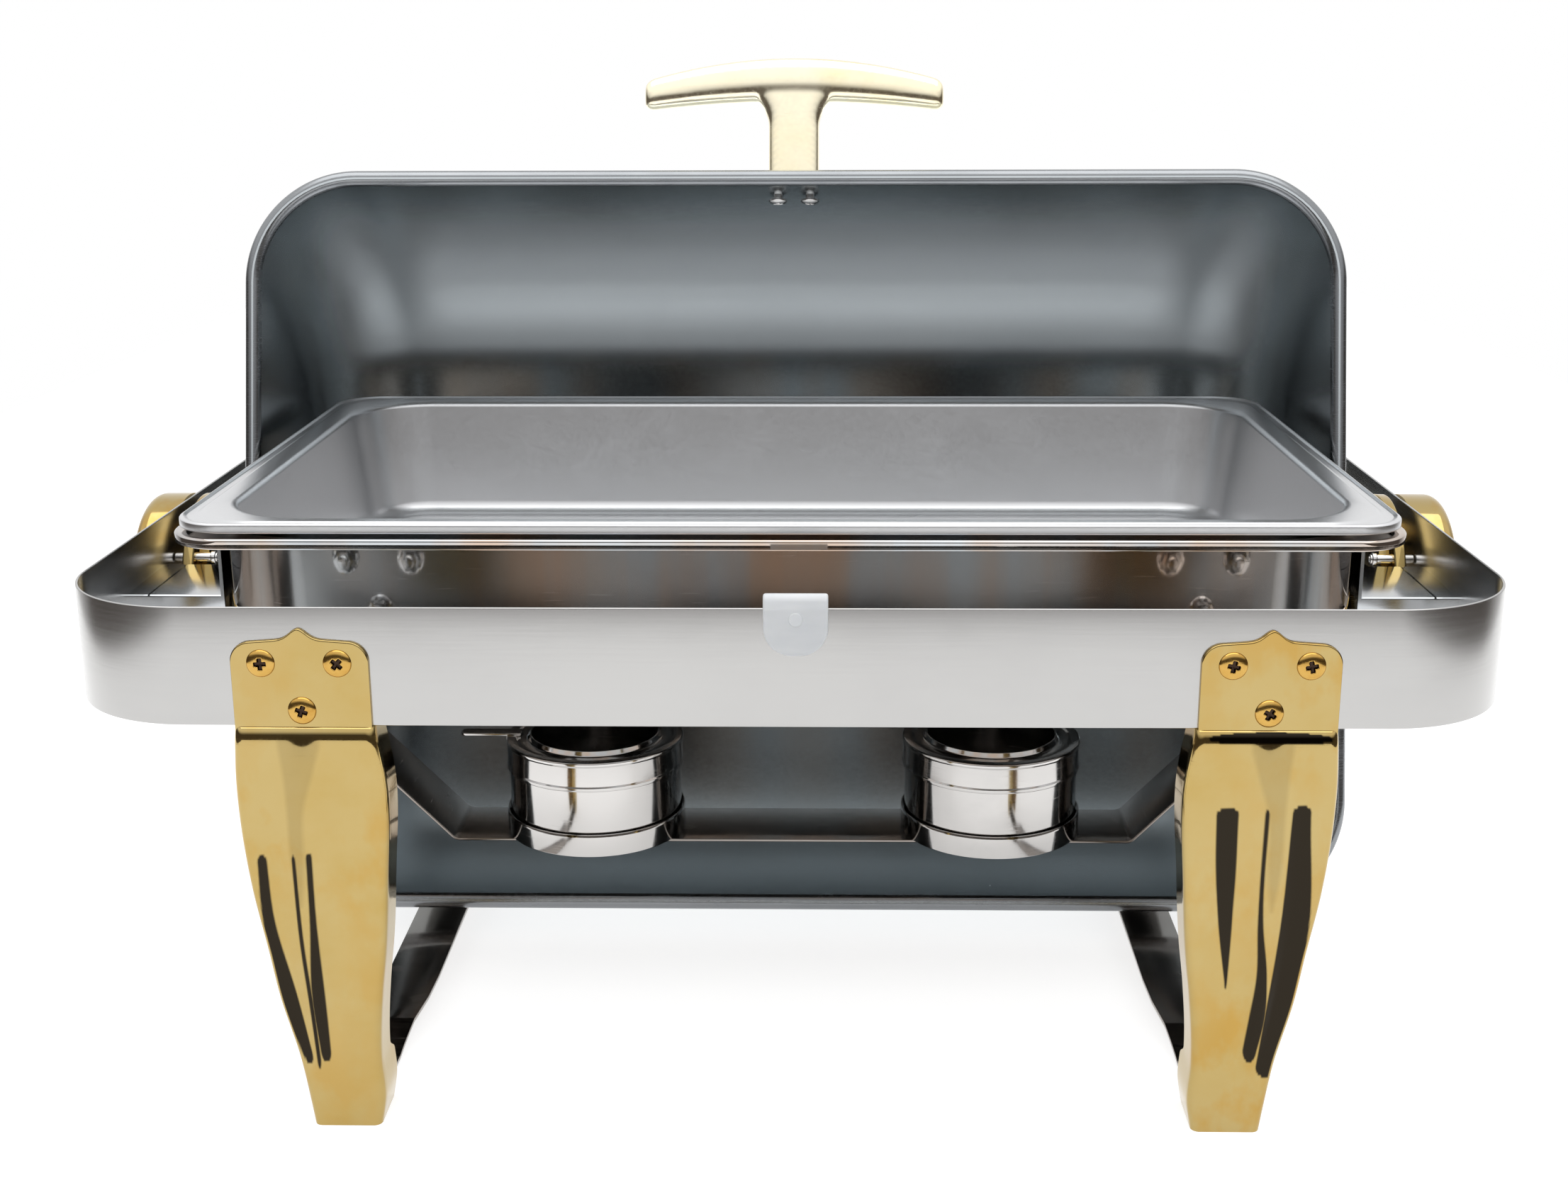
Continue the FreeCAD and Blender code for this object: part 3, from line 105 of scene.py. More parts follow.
def roundedLoops(halfX, halfY, corner, height, steps=20):
    # one rounded rectangle per row: corner centre plus corner radius times the direction of the turn
    halfX, halfY, corner, height = [np.asarray(v, float)[:, None] for v in (halfX, halfY, corner, height)]
    angle = (np.linspace(0, math.pi / 2, steps + 1)[None, :] + (np.arange(4) * math.pi / 2)[:, None]).ravel()
    signX = np.repeat([1, -1, -1, 1], steps + 1)
    signY = np.repeat([1, 1, -1, -1], steps + 1)
    x = signX * (halfX - corner) + corner * np.cos(angle)
    y = signY * (halfY - corner) + corner * np.sin(angle)
    return np.stack([x, y, np.broadcast_to(height, x.shape)], axis=-1)


def turned(profile, centre, axis="z", segments=96, hexed=None, closed=False):
    # profile (radius, along) carried round an axis; hexed blends a row from round to six-sided;
    # a closed profile gives a ring
    radius, along = np.array(profile, float).T
    angle = np.linspace(0, 2 * math.pi, segments, endpoint=False)
    sixSided = math.cos(math.pi / 6) / np.cos(np.mod(angle, math.pi / 3) - math.pi / 6)
    blend = np.zeros(len(radius)) if hexed is None else np.array(hexed, float)
    r = radius[:, None] * (1 + blend[:, None] * (sixSided[None, :] - 1))
    first, second = r * np.cos(angle), r * np.sin(angle)
    third = np.broadcast_to(along[:, None], first.shape)
    order = {"z": (first, second, third), "x": (third, first, second), "y": (first, third, second)}[axis]
    return surface(np.stack(order, axis=-1) + np.array(centre, float), closed, True)


def plate(outline, low, high, edge, place, steps=3):
    # a flat outline (a, b) given thickness, its edges rounded over by a quarter circle
    ahead = np.roll(outline, -1, axis=0) - np.roll(outline, 1, axis=0)
    ahead /= np.linalg.norm(ahead, axis=1)[:, None]
    area = np.sum(outline[:, 0] * np.roll(outline[:, 1], -1) - outline[:, 1] * np.roll(outline[:, 0], -1))
    inward = np.stack([-ahead[:, 1], ahead[:, 0]], axis=-1) * np.sign(area)
    quarter = np.linspace(0, math.pi / 2, steps + 1)
    sides, faces = edge * (1 - np.sin(quarter)), edge * (1 - np.cos(quarter))
    capInset = [edge * 2.2]
    inset = np.concatenate([capInset, sides, faces, capInset])
    depth = np.concatenate([[low], low + faces, high - sides, [high]])
    flat = outline[None] + inward[None] * inset[:, None, None]
    third = np.broadcast_to(depth[:, None], flat.shape[:2])
    points = place(flat[..., 0], flat[..., 1], third)
    return surface(points, False, True, endCaps(*third.shape))


def ribbon(path, ring, place, widths=None, shifts=None):
    # a section ring (across, through) carried along a line in a plane, its width changing on the way
    path, ring = np.array(path, float), np.array(ring, float)
    along = np.gradient(path, axis=0)
    along /= np.linalg.norm(along, axis=1)[:, None]
    normal = np.stack([-along[:, 1], along[:, 0]], axis=-1)
    widths = np.ones(len(path)) if widths is None else np.array(widths, float)
    shifts = np.zeros(len(path)) if shifts is None else np.array(shifts, float)
    across = shifts[:, None] + ring[None, :, 0] * widths[:, None]
    a = path[:, None, 0] + normal[:, None, 0] * ring[None, :, 1]
    b = path[:, None, 1] + normal[:, None, 1] * ring[None, :, 1]
    return surface(place(across, a, b), False, True, endCaps(*a.shape))


def squarish(angle, power):
    # a circle's two coordinates, pushed towards a square by a power below one
    a, b = np.cos(angle), np.sin(angle)
    return np.sign(a) * np.abs(a) ** power, np.sign(b) * np.abs(b) ** power


def boxRing(halfWide, halfThick, radius, steps=3):
    # section of a flat strip with eased corners
    return filleted([(-halfWide, -halfThick, radius), (halfWide, -halfThick, radius),
                     (halfWide, halfThick, radius), (-halfWide, halfThick, radius)], closed=True, steps=steps)


def bump(s):
    # rounded hill: one at zero, down to nothing at minus one and one
    return np.where(np.abs(s) < 1, np.cos(np.clip(s, -1, 1) * math.pi / 2) ** 2, 0)


def ramp(value, start, end):
    # smooth step from nothing at the start to one at the end
    s = np.clip((value - start) / (end - start), 0, 1)
    return s * s * (3 - 2 * s)


def addObject(name, data):
    added = bpy.data.objects.new(name, data)
    scene.collection.objects.link(added)
    return added


def setInputs(node, values):
    for key, value in values.items():
        node.inputs[key].default_value = value


def makePiece(name, parts, material, body, nodes, sharp=32, paintedDark=None):
    # joins surfaces given in millimetres into one mesh, closes its seams and points its faces outwards;
    # the last argument = one share per point of painted shade and painted dark reflection, kept as an
    # attribute for the finish
    points, faces, start = [], [], 0
    for spots, quads in parts:
        points.append(spots)
        faces += [[index + start for index in face] for face in quads]
        start += len(spots)
    mesh = bpy.data.meshes.new(name)
    mesh.from_pydata(np.concatenate(points) * mm, [], faces)
    if paintedDark is not None:
        share = mesh.attributes.new("paintedDark", "FLOAT", "POINT")
        share.data.foreach_set("value", np.asarray(paintedDark, np.float32))
    edit = bmesh.new()
    edit.from_mesh(mesh)
    bmesh.ops.remove_doubles(edit, verts=edit.verts, dist=2e-6)
    bmesh.ops.recalc_face_normals(edit, faces=edit.faces)
    edit.to_mesh(mesh)
    edit.free()
    mesh.polygons.foreach_set("use_smooth", np.ones(len(mesh.polygons), bool))
    mesh.set_sharp_from_angle(angle=math.radians(sharp))
    piece = addObject(name, mesh)
    mesh.materials.append(material)
    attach(piece, body)
    if nodes:
        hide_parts(*nodes)
    return piece


bothSides = (("left", -1), ("right", 1))
# the cover turns about a level line at this height; its round discs sit forward of it and below it
hinge = {"height": 204, "open": 105, "forward": 17, "below": 15, "radius": 42}


def openUp(part):
    # turns a surface drawn closed about the hinge line back to where it stands open
    spots, quads = part
    angle = math.radians(-hinge["open"])
    y = spots[:, 1] * math.cos(angle) - spots[:, 2] * math.sin(angle)
    z = spots[:, 1] * math.sin(angle) + spots[:, 2] * math.cos(angle) + hinge["height"]
    return np.stack([spots[:, 0], y, z], axis=-1), quads


class Nodes:
    # short way to lay out a node tree
    def __init__(self, name):
        self.material = bpy.data.materials.new(name)
        self.material.use_nodes = True
        self.tree = self.material.node_tree
        self.shader = self.tree.nodes["Principled BSDF"]
        self.place = self.add("ShaderNodeTexCoord").outputs["Object"]

    def add(self, kind, **settings):
        node = self.tree.nodes.new(kind)
        for key, value in settings.items():
            setattr(node, key, value)
        return node

    def link(self, output, target):
        self.tree.links.new(output, target)

    def noise(self, scale, detail=3, stretch=(1, 1, 1), roughness=0.5, turn=(0, 0, 0)):
        mapping = self.add("ShaderNodeMapping")
        setInputs(mapping, {"Scale": stretch, "Rotation": turn})
        self.link(self.place, mapping.inputs["Vector"])
        noise = self.add("ShaderNodeTexNoise")
        setInputs(noise, {"Scale": scale, "Detail": detail, "Roughness": roughness})
        self.link(mapping.outputs[0], noise.inputs["Vector"])
        return noise.outputs["Fac"]

    def remap(self, value, low, high, fromLow=0.3, fromHigh=0.7):
        node = self.add("ShaderNodeMapRange")
        setInputs(node, {"From Min": fromLow, "From Max": fromHigh, "To Min": low, "To Max": high})
        self.link(value, node.inputs["Value"])
        return node.outputs["Result"]

    def math(self, kind, first, second):
        node = self.add("ShaderNodeMath", operation=kind)
        for socket, value in zip(node.inputs, (first, second)):
            if isinstance(value, (int, float)):
                socket.default_value = value
            else:
                self.link(value, socket)
        return node.outputs[0]

    def mixColour(self, factor, first, second):
        node = self.add("ShaderNodeMix", data_type="RGBA")
        self.link(factor, node.inputs["Factor"])
        for socket, value in ((node.inputs[6], first), (node.inputs[7], second)):
            if isinstance(value, tuple):
                socket.default_value = (*value, 1)
            else:
                self.link(value, socket)
        return node.outputs[2]

    def bumps(self, layers):
        # each layer is (height, strength, distance in millimetres)
        normal = None
        for height, strength, distance in layers:
            node = self.add("ShaderNodeBump")
            setInputs(node, {"Strength": strength, "Distance": distance * mm})
            self.link(height, node.inputs["Height"])
            if normal:
                self.link(normal, node.inputs["Normal"])
            normal = node.outputs["Normal"]
        self.link(normal, self.shader.inputs["Normal"])


def metal(name, colour, stain, rough, grain=(3, 3, 260), wave=0.3, scratch=0.12, blotch=9, specks=True,
          paintedReflectionBands=None, hollow=None, mottle=None):
    # polished sheet: long polishing grain, slow hand-made waviness, crossing hair scratches, faint blotches;
    # upright bands take a painted reflection (colour, share); hollow = tone of painted shade and dark painted
    # reflections;
    # mottle = tone of the small cloudy stains
    n = Nodes(name)
    n.shader.inputs["Metallic"].default_value = 1
    grainNoise = n.noise(12, 4, grain, 0.6)
    slow = n.noise(blotch, 3, (1, 1, 1), 0.5)
    cloud = n.noise(blotch * 3.1, 5, (1, 1, 1.4), 0.6)
    hair = n.noise(55, 2, (1, 1, 34), 0.4, (0.35, 0.5, 0.2))
    hairLine = n.remap(hair, 0, 1, 0.66, 0.72)
    colourMix = n.math("MULTIPLY", n.remap(slow, 0, 1, 0.42, 0.72), n.remap(cloud, 0.35, 1, 0.35, 0.65))
    tone = n.mixColour(colourMix, colour, stain)
    if mottle:
        spots = n.math("MULTIPLY", n.remap(n.noise(38, 4, (1, 1, 0.7), 0.6), 0, 1, 0.46, 0.62),
                       n.remap(n.noise(11, 2), 0.15, 0.8, 0.4, 0.6))
        tone = n.mixColour(spots, tone, mottle)
    # upright bands of painted reflection
    if paintedReflectionBands:
        bands = n.noise(22, 2, (1, 1, 0.06), 0.45)
        fineBands = n.noise(90, 3, (1, 1, 0.03), 0.5)
        share = n.math("ADD", n.remap(bands, 0, 0.8, 0.42, 0.62), n.remap(fineBands, -0.1, 0.2, 0.4, 0.6))
        tone = n.mixColour(n.math("MULTIPLY", share, paintedReflectionBands[1]), tone, paintedReflectionBands[0])
    # painted shade and painted dark reflections, laid by the mesh attribute
    if hollow:
        paintedDark = n.add("ShaderNodeAttribute", attribute_name="paintedDark")
        tone = n.mixColour(n.remap(paintedDark.outputs["Fac"], 0, 1, 0.02, 0.85), tone, hollow)
    n.link(tone, n.shader.inputs["Base Color"])
    spread = 0.3 if specks else 0.08
    roughness = n.math("ADD", n.remap(grainNoise, rough * (1 - spread), rough * (1 + spread)),
                       n.remap(cloud, 0, rough * spread * 1.6, 0.5, 0.75))
    if specks:
        roughness = n.math("ADD", roughness, n.math("MULTIPLY", hairLine, 0.1))
    n.link(roughness, n.shader.inputs["Roughness"])
    layers = [(slow, wave, 1.2), (grainNoise, scratch * 0.5, 0.03)]
    n.bumps(layers + [(hairLine, scratch, 0.02)] if specks else layers)
    return n.material


apronSteel = metal("apronSteel", (0.465, 0.46, 0.452), (0.43, 0.425, 0.42), 0.22, grain=(2, 2, 90), wave=0.04,
                   scratch=0.02, blotch=5, specks=False)
mirrorSteel = metal("mirrorSteel", (0.62, 0.605, 0.59), (0.5, 0.49, 0.48), 0.1, wave=0.05, scratch=0.05)
ledgeSteel = metal("ledgeSteel", (0.52, 0.54, 0.56), (0.45, 0.47, 0.49), 0.1, wave=0.02, scratch=0.02,
                   specks=False)
coverSteel = metal("coverSteel", (0.60, 0.64, 0.66), (0.54, 0.58, 0.60), 0.23, grain=(40, 40, 40), wave=0.03,
                   scratch=0.03, blotch=5, specks=False)
beadSteel = metal("beadSteel", (0.25, 0.26, 0.27), (0.2, 0.21, 0.22), 0.22, wave=0.03, scratch=0.04)
panSteel = metal("panSteel", (0.70, 0.705, 0.715), (0.66, 0.665, 0.675), 0.3, grain=(40, 40, 40), wave=0.02,
                 scratch=0.02, blotch=6, specks=False)
# the water pan's brownish upright bands are a painted reflection
bathSteel = metal("bathSteel", (0.52, 0.545, 0.56), (0.38, 0.40, 0.42), 0.045, grain=(90, 90, 1.5), wave=0.03,
                  scratch=0.03, paintedReflectionBands=((0.56, 0.39, 0.27), 0.7))
# dark brownish base colour: painted reflection of dark surroundings on the shelf and runners
paintedReflectionSteel = metal("paintedReflectionSteel", (0.34, 0.31, 0.285), (0.25, 0.22, 0.2), 0.14, wave=0.08)
fixingSteel = metal("fixingSteel", (0.62, 0.61, 0.60), (0.42, 0.41, 0.40), 0.16, wave=0.02, blotch=60)
# hollow colour: painted dark reflections in the leg hollows and painted shade on the step
brass = metal("brass", (0.45, 0.34, 0.142), (0.42, 0.295, 0.095), 0.075, grain=(70, 70, 3), wave=0.2,
              scratch=0.06, blotch=14, hollow=(0.026, 0.021, 0.015), mottle=(0.44, 0.265, 0.06))
castBrass = metal("castBrass", (0.98, 0.90, 0.68), (0.95, 0.82, 0.5), 0.16, grain=(40, 40, 40), wave=0.04,
                  scratch=0.03, blotch=18)
# hollow colour: painted shade in the cross recesses
screwBrass = metal("screwBrass", (0.55, 0.34, 0.09), (0.46, 0.25, 0.05), 0.16, wave=0.02, scratch=0.04,
                   blotch=120, hollow=(0.04, 0.025, 0.018))


def clearPlastic():
    # moulded translucent plastic: faint flow marks, rubbed surface
    n = Nodes("clearPlastic")
    flow = n.noise(60, 4, (1, 1, 3))
    fine = n.noise(420, 3)
    tone = n.mixColour(n.remap(flow, 0, 1), (0.80, 0.82, 0.84), (0.74, 0.765, 0.79))
    n.link(tone, n.shader.inputs["Base Color"])
    n.link(n.remap(fine, 0.3, 0.42), n.shader.inputs["Roughness"])
    setInputs(n.shader, {"Transmission Weight": 0.3, "IOR": 1.45, "Subsurface Weight": 0.2,
                         "Subsurface Radius": (0.004, 0.004, 0.005)})
    n.bumps([(flow, 0.06, 0.2), (fine, 0.05, 0.02)])
    return n.material


plastic = clearPlastic()
print("finishes ready")

apron = {"halfX": 302, "halfY": 220, "corner": 58, "sheet": 1.2, "low": 180, "high": 230, "edge": 0.5}


def makeApron():
    # the sheet's closed section, with eased edges, carried round the rounded rectangle
    section = filleted([(0, apron["low"], apron["edge"]), (0, apron["high"], apron["edge"]),
                        (-apron["sheet"], apron["high"], apron["edge"]),
                        (-apron["sheet"], apron["low"], apron["edge"])], closed=True, steps=4)
    out, height = section.T
    loops = roundedLoops(apron["halfX"] + out, apron["halfY"] + out, apron["corner"] + out, height, 40)
    makePiece("apron", [surface(loops, True, True)], apronSteel, "frame", ["band_apron"], 60)


makeApron()

foodPan = {"rimX": 265, "rimCorner": 22, "wallX": 249, "wallY": 146.5, "wallCorner": 40, "draft": 8,
           "sheet": 0.9, "heel": 9, "floor": 12, "bottom": 185.5, "top": 250.5, "lip": 4.5}
waterPan = {"rimX": 267.5, "rimCorner": 24.5, "wallX": 254, "wallY": 151.5, "wallCorner": 45, "draft": 8,
            "sheet": 0.9, "heel": 9, "floor": 12, "bottom": 154.3, "top": 244.3, "wallTop": 249.5, "lip": 4.8,
            "bend": 206, "bendRound": 40}


def panRows(pan, profile):
    # profile spots (out, height) are offsets from the wall's outline; its corner eases to the rim's corner
    out, height = np.array(profile).T
    reach = pan["rimX"] - pan["wallX"]
    corner = np.where(out <= 0, pan["wallCorner"] + out,
                      pan["wallCorner"] + (pan["rimCorner"] - pan["wallCorner"]) * out / reach)
    return np.stack([pan["wallX"] + out, pan["wallY"] + out, corner, height])


def panFloor(row, height, shares):
    # smaller and smaller copies of the floor's edge, down to a point in the middle
    shares = np.array(shares)[None, :]
    return np.concatenate([row[:3, None] * shares, np.full((1, shares.shape[1]), height)])


def makePan(name, pan, topProfile, underProfile, material, node, body):
    upper, lower = panRows(pan, topProfile), panRows(pan, underProfile)
    floorTop, floorUnder = topProfile[0][1], underProfile[-1][1]
    shares = [0.0, 0.3, 0.6, 0.85, 0.97]
    rows = np.concatenate([panFloor(upper[:, 0], floorTop, shares), upper, lower,
                           panFloor(lower[:, -1], floorUnder, shares[::-1])], axis=1)
    loops = roundedLoops(*rows, 28)
    makePiece(name, [surface(loops, False, True)], material, body, [node], 40)


def makeFoodPan():
    # flat rim with a shallow groove and a turned-down lip
    p = foodPan
    rim, bottom, foot, sheet, heel = p["top"], p["bottom"], -p["draft"], p["sheet"], p["heel"]
    reach = p["rimX"] - p["wallX"]
    inner, lip = bottom + sheet, rim - p["lip"]
    top = filleted([(foot - p["floor"], inner), (foot - sheet, inner, heel - sheet), (-0.6, rim - 1, 3.2),
                    (reach * 0.58, rim - 0.2, 1.5), (reach * 0.68, rim - 1.0, 1.2),
                    (reach * 0.86, rim - 1.0, 1), (reach * 0.93, rim, 0.5), (reach, rim, 1.1),
                    (reach, lip, 0.9), (reach - 1.8, lip, 0.8), (reach - 1.8, rim - 2.2)], steps=6)
    under = filleted([(reach - 2.2, rim - 1.9), (0.6, rim - 2.0, 2), (foot, bottom, heel),
                      (foot - p["floor"], bottom)], steps=6)
    makePan("foodPan", p, top, under, panSteel, "food_pan", "food")


def makeWaterPan():
    # wall upright above a wide bend; it ends above the rim, where the food pan rests
    p = waterPan
    rim, bottom, foot, sheet, heel = p["top"], p["bottom"], -p["draft"], p["sheet"], p["heel"]
    reach = p["rimX"] - p["wallX"]
    inner, lip, bend, wallTop = bottom + sheet, rim - p["lip"], p["bend"], p["wallTop"]
    top = filleted([(foot - p["floor"], inner), (foot - sheet, inner, heel - sheet),
                    (-sheet, bend, p["bendRound"]), (-sheet, wallTop, 0.3), (-0.1, wallTop, 0.3),
                    (0.2, rim, 0.8), (reach, rim, 1.2), (reach, lip, 0.9), (reach - 2, lip, 0.9),
                    (reach - 2, rim - 1.4)], steps=6)
    under = filleted([(reach - 2.3, rim - 1.1), (0.4, rim - 1.2, 0.8), (0, bend, p["bendRound"]),
                      (foot, bottom, heel), (foot - p["floor"], bottom)], steps=6)
    makePan("waterPan", p, top, under, bathSteel, "water_pan", "water_bath")


makeFoodPan()
makeWaterPan()
print("apron and pans made")

cover = {"half": 281, "radius": 187.5, "corner": 54, "sheet": 1, "lift": 10, "bead": 4, "rows": 121}


def makeCover():
    # half turn of a line (x, distance) about the cover's axis: straight roof, rounded corners, end walls
    def skin(inset):
        corner, half, radius = cover["corner"] - inset, cover["half"] - inset, cover["radius"] - inset
        quarter = np.linspace(0, math.pi / 2, 19)
        wall = np.linspace(0, 1, 9)[:-1] * (radius - corner)
        x = np.concatenate([np.full(8, half), half - corner + corner * np.cos(quarter)])
        away = np.concatenate([wall, radius - corner + corner * np.sin(quarter)])
        return np.concatenate([np.stack([x, away], -1), np.stack([-x, away], -1)[::-1]])

    outside, inside = skin(0), skin(cover["sheet"])
    loop = np.concatenate([outside, inside[::-1]])
    angle = np.linspace(0, math.pi, cover["rows"])[:, None]
    x = np.broadcast_to(loop[None, :, 0], (cover["rows"], len(loop)))
    y = loop[None, :, 1] * np.cos(angle)
    z = loop[None, :, 1] * np.sin(angle) + cover["lift"]
    count = len(outside)
    caps = stripCap(0, count) + stripCap((cover["rows"] - 1) * len(loop), count)
    shell = surface(np.stack([x, y, z], -1), False, True, caps)
    makePiece("coverShell", [openUp(shell)], coverSteel, "cover", ["cover_shell"], 40)
    turn = np.linspace(0, 2 * math.pi, 24, endpoint=False)
    out = cover["bead"] * np.cos(turn)
    loops = roundedLoops(cover["half"] + out, cover["radius"] + out, cover["corner"] + out,
                         cover["lift"] + cover["bead"] + cover["bead"] * np.sin(turn), 36)
    makePiece("coverBead", [openUp(surface(loops, True, True))], beadSteel, "cover", [], 60)


makeCover()

handle = {"low": 33, "thick": 14, "half": 79, "inner": 233, "outer": 256, "innerEnd": 228, "outerEnd": 244,
          "endRound": 5, "barPower": 0.72, "stemHalf": 13.3, "stemPower": 0.42, "stemRows": 33, "stemInto": 7,
          "flare": 15, "flareFrom": 0.62, "voxel": 0.9}


def makeHandle():
    # bar: rounded sections along a bow; stem: rounded sections that widen into the bar
    middle = handle["low"] + handle["thick"] / 2
    end = np.sin(np.linspace(-math.pi / 2, math.pi / 2, 61))
    x = handle["half"] * end
    bow = (x / handle["half"]) ** 2
    outer = handle["outer"] + (handle["outerEnd"] - handle["outer"]) * bow
    inner = handle["inner"] + (handle["innerEnd"] - handle["inner"]) * bow
    shrink = np.clip((np.abs(x) - handle["half"] + handle["endRound"]) / handle["endRound"], 0, 1)
    keep = np.sqrt(1 - shrink**2 * 0.999)
    angle = np.linspace(0, 2 * math.pi, 40, endpoint=False)
    ringA, ringB = squarish(angle, handle["barPower"])
    y = -((outer + inner) / 2)[:, None] + ((outer - inner) / 2 * (0.55 + 0.45 * keep))[:, None] * ringA
    thin = handle["thick"] / 2 * (1 - 0.12 * bow) * (0.5 + 0.5 * keep)
    z = middle + thin[:, None] * ringB
    points = np.stack([np.broadcast_to(x[:, None], y.shape), y, z], -1)
    bar = surface(points, False, True, endCaps(*y.shape))
    part = np.linspace(0, 1, handle["stemRows"])
    flared = np.clip((part - handle["flareFrom"]) / (1 - handle["flareFrom"]), 0, 1) ** 2.2
    wide = handle["stemHalf"] + handle["flare"] * flared
    ringA, ringB = squarish(angle, handle["stemPower"])
    z = middle + (handle["thick"] / 2 - 0.6) * ringB * np.ones((handle["stemRows"], 1))
    root = -np.sqrt((cover["radius"] - 0.4) ** 2 - (z - cover["lift"]) ** 2)
    y = root + (-(handle["inner"] + handle["stemInto"]) - root) * part[:, None]
    x = wide[:, None] * ringA
    stem = surface(np.stack([x, y, z], -1), False, True, endCaps(*y.shape))
    piece = makePiece("coverHandle", [openUp(bar), openUp(stem)], castBrass, "cover", ["cover_handle"],
                      180)
    remesh = piece.modifiers.new("cast", "REMESH")
    remesh.mode = "VOXEL"
    remesh.voxel_size = handle["voxel"] * mm
    remesh.use_smooth_shade = True
    smooth = piece.modifiers.new("polished", "SMOOTH")
    smooth.factor = 0.5
    smooth.iterations = 12


makeHandle()
print("cover and handle made")

leg = {"centre": 195, "half": 28, "sheet": 1.6, "face": 220, "proud": 4.1, "shoulder": 216, "peak": 221.5,
       "top": 180, "crown": 8.5, "crownDrop": 2.6, "flange": 15, "footFlange": 21, "round": 3.5,
       "corner": 8.5, "rise": 1.4, "tipWide": 4.6}
# half widths of the channel away from the middle of the object and towards it, by height
legHeights = [0, 12, 30, 61, 80, 110, 157, 180]
legOutward = [7, 8.6, 11.3, 18.5, 21.5, 26.5, 29.5, 28.3]
legInward = [22, 24, 23.3, 25.5, 28, 30.5, 32.5, 29]
# lines of the pressed relief down the leg: heights, then the middle or half width there
reliefLines = {"ribAt": ([0, 32, 66, 102, 133, 150, 170, 180], [1, 2, 4, 5.5, 5.5, 4, 1, 0.5]),
               "outerAt": ([0, 31, 85, 120, 150, 180], [5, 7.2, 14.5, 17, 18, 18]),
               "outerWide": ([0, 31, 85, 120, 150, 180], [3, 4.4, 8.2, 9.8, 10, 10]),
               "innerAt": ([0, 31, 76, 124, 150, 180], [-5, -4.6, -6.2, -9.5, -11, -12]),
               "innerWide": ([0, 31, 76, 124, 150, 180], [6, 6.4, 9.5, 12.5, 13, 13])}
bulbShape = {"middle": 0.5, "halfWide": 11, "height": 164, "halfHigh": 13}
hollowDepths = {"outer": 2.4, "inner": 2.1}


def legRelief(t, z):
    # hollows on both sides of a rib that runs down from a pressed bulb; all narrow towards the foot
    line = {name: smoothThrough(heights, values, z) for name, (heights, values) in reliefLines.items()}
    outer = bump((t - line["outerAt"]) / line["outerWide"])
    inner = bump((t - line["innerAt"]) / line["innerWide"])
    fade = ramp(z, 18, 62) * (1 - ramp(z, 128, 168))
    hollow = fade * (hollowDepths["outer"] * outer + hollowDepths["inner"] * inner)
    ribWide = 3 + 4.6 * ramp(z, 70, 160)
    ribHigh = (0.5 + 0.8 * ramp(z, 60, 150)) * ramp(z, 24, 60) * (1 - ramp(z, 158, 174))
    rib = ribHigh * bump((t - line["ribAt"]) / ribWide)
    bulb = bump(np.hypot((t - bulbShape["middle"]) / bulbShape["halfWide"],
                         (z - bulbShape["height"]) / bulbShape["halfHigh"]))
    return hollow - np.maximum(rib, bulb)


# painted dark reflections in the pressed hollows, and in the right list also painted shade across the step at
# the top:
# spots (height, middle, half width) down each band, its two ends and how far it narrows before its foot
legPaintedDarkBands = {
    "left": [([(123, 21, 1.7), (95, 20, 2.2), (62, 14.5, 3.3), (31, 7, 2.0)], 124, 29, 6),
             ([(124, 7.2, 0.8), (85, 6.4, 0.9), (55, 4.2, 0.9), (31, 2.8, 0.8)], 125, 27, 5),
             ([(124, 1.0, 1.1), (95, 1.2, 1.3), (62, 1.2, 2.5), (33, -0.4, 2.0)], 126, 30, 5)],
    "right": [([(147, 15.5, 3.7), (96, 15.8, 5.8), (60, 12.2, 5.6), (31, 7.6, 4.2)], 148, 26, 5),
              ([(146, -14.6, 4.6), (120, -13.8, 4.3), (100, -13, 3.2), (70, -11.2, 1.2)], 147, 66, 30),
              ([(147, 1.2, 0.8), (95, 1.6, 1.1), (72, 3.4, 2.1), (53, 2.6, 3.2), (38, 0.4, 2.8)], 147, 33, 6),
              ([(180, 1, 26), (175, 1, 24)], 179.4, 174.8, 1.2)]}
# painted olive reflection on the rib and on the bulb above it: the same spots and ends
legRibPaintedTone = [([(172, 2, 8.6), (160, 3.2, 6.2), (146, 5, 3.8), (120, 5.6, 2.8), (104, 5.4, 1.2)], 177, 101, 12)]


def shadeBands(t, z, bands, soft):
    # share of a tone: each band has sides as crisp as soft allows and rounded ends
    share = np.zeros_like(t)
    for spots, top, foot, narrowing in bands:
        heights, middles, halves = np.array(spots[::-1], float).T
        middle, half = smoothThrough(heights, middles, z), smoothThrough(heights, halves, z)
        nearTop = np.clip((z - top + 2.5) / 2.5, 0, 1)
        nearFoot = np.clip((foot + narrowing - z) / narrowing, 0, 1)
        half = half * np.sqrt(1 - np.clip(nearTop + nearFoot, 0, 1) ** 2)
        within = np.clip((half - np.abs(t - middle)) / soft + 0.5, 0, 1) * (z < top) * (z > foot)
        share = np.maximum(share, within)
    return share


def legShade(t, z, side):
    # painted dark reflections and step shade at full strength, the rib's painted olive reflection faint
    return np.maximum(shadeBands(t, z, legPaintedDarkBands[side], 0.8), 0.17 * shadeBands(t, z, legRibPaintedTone, 2.4))


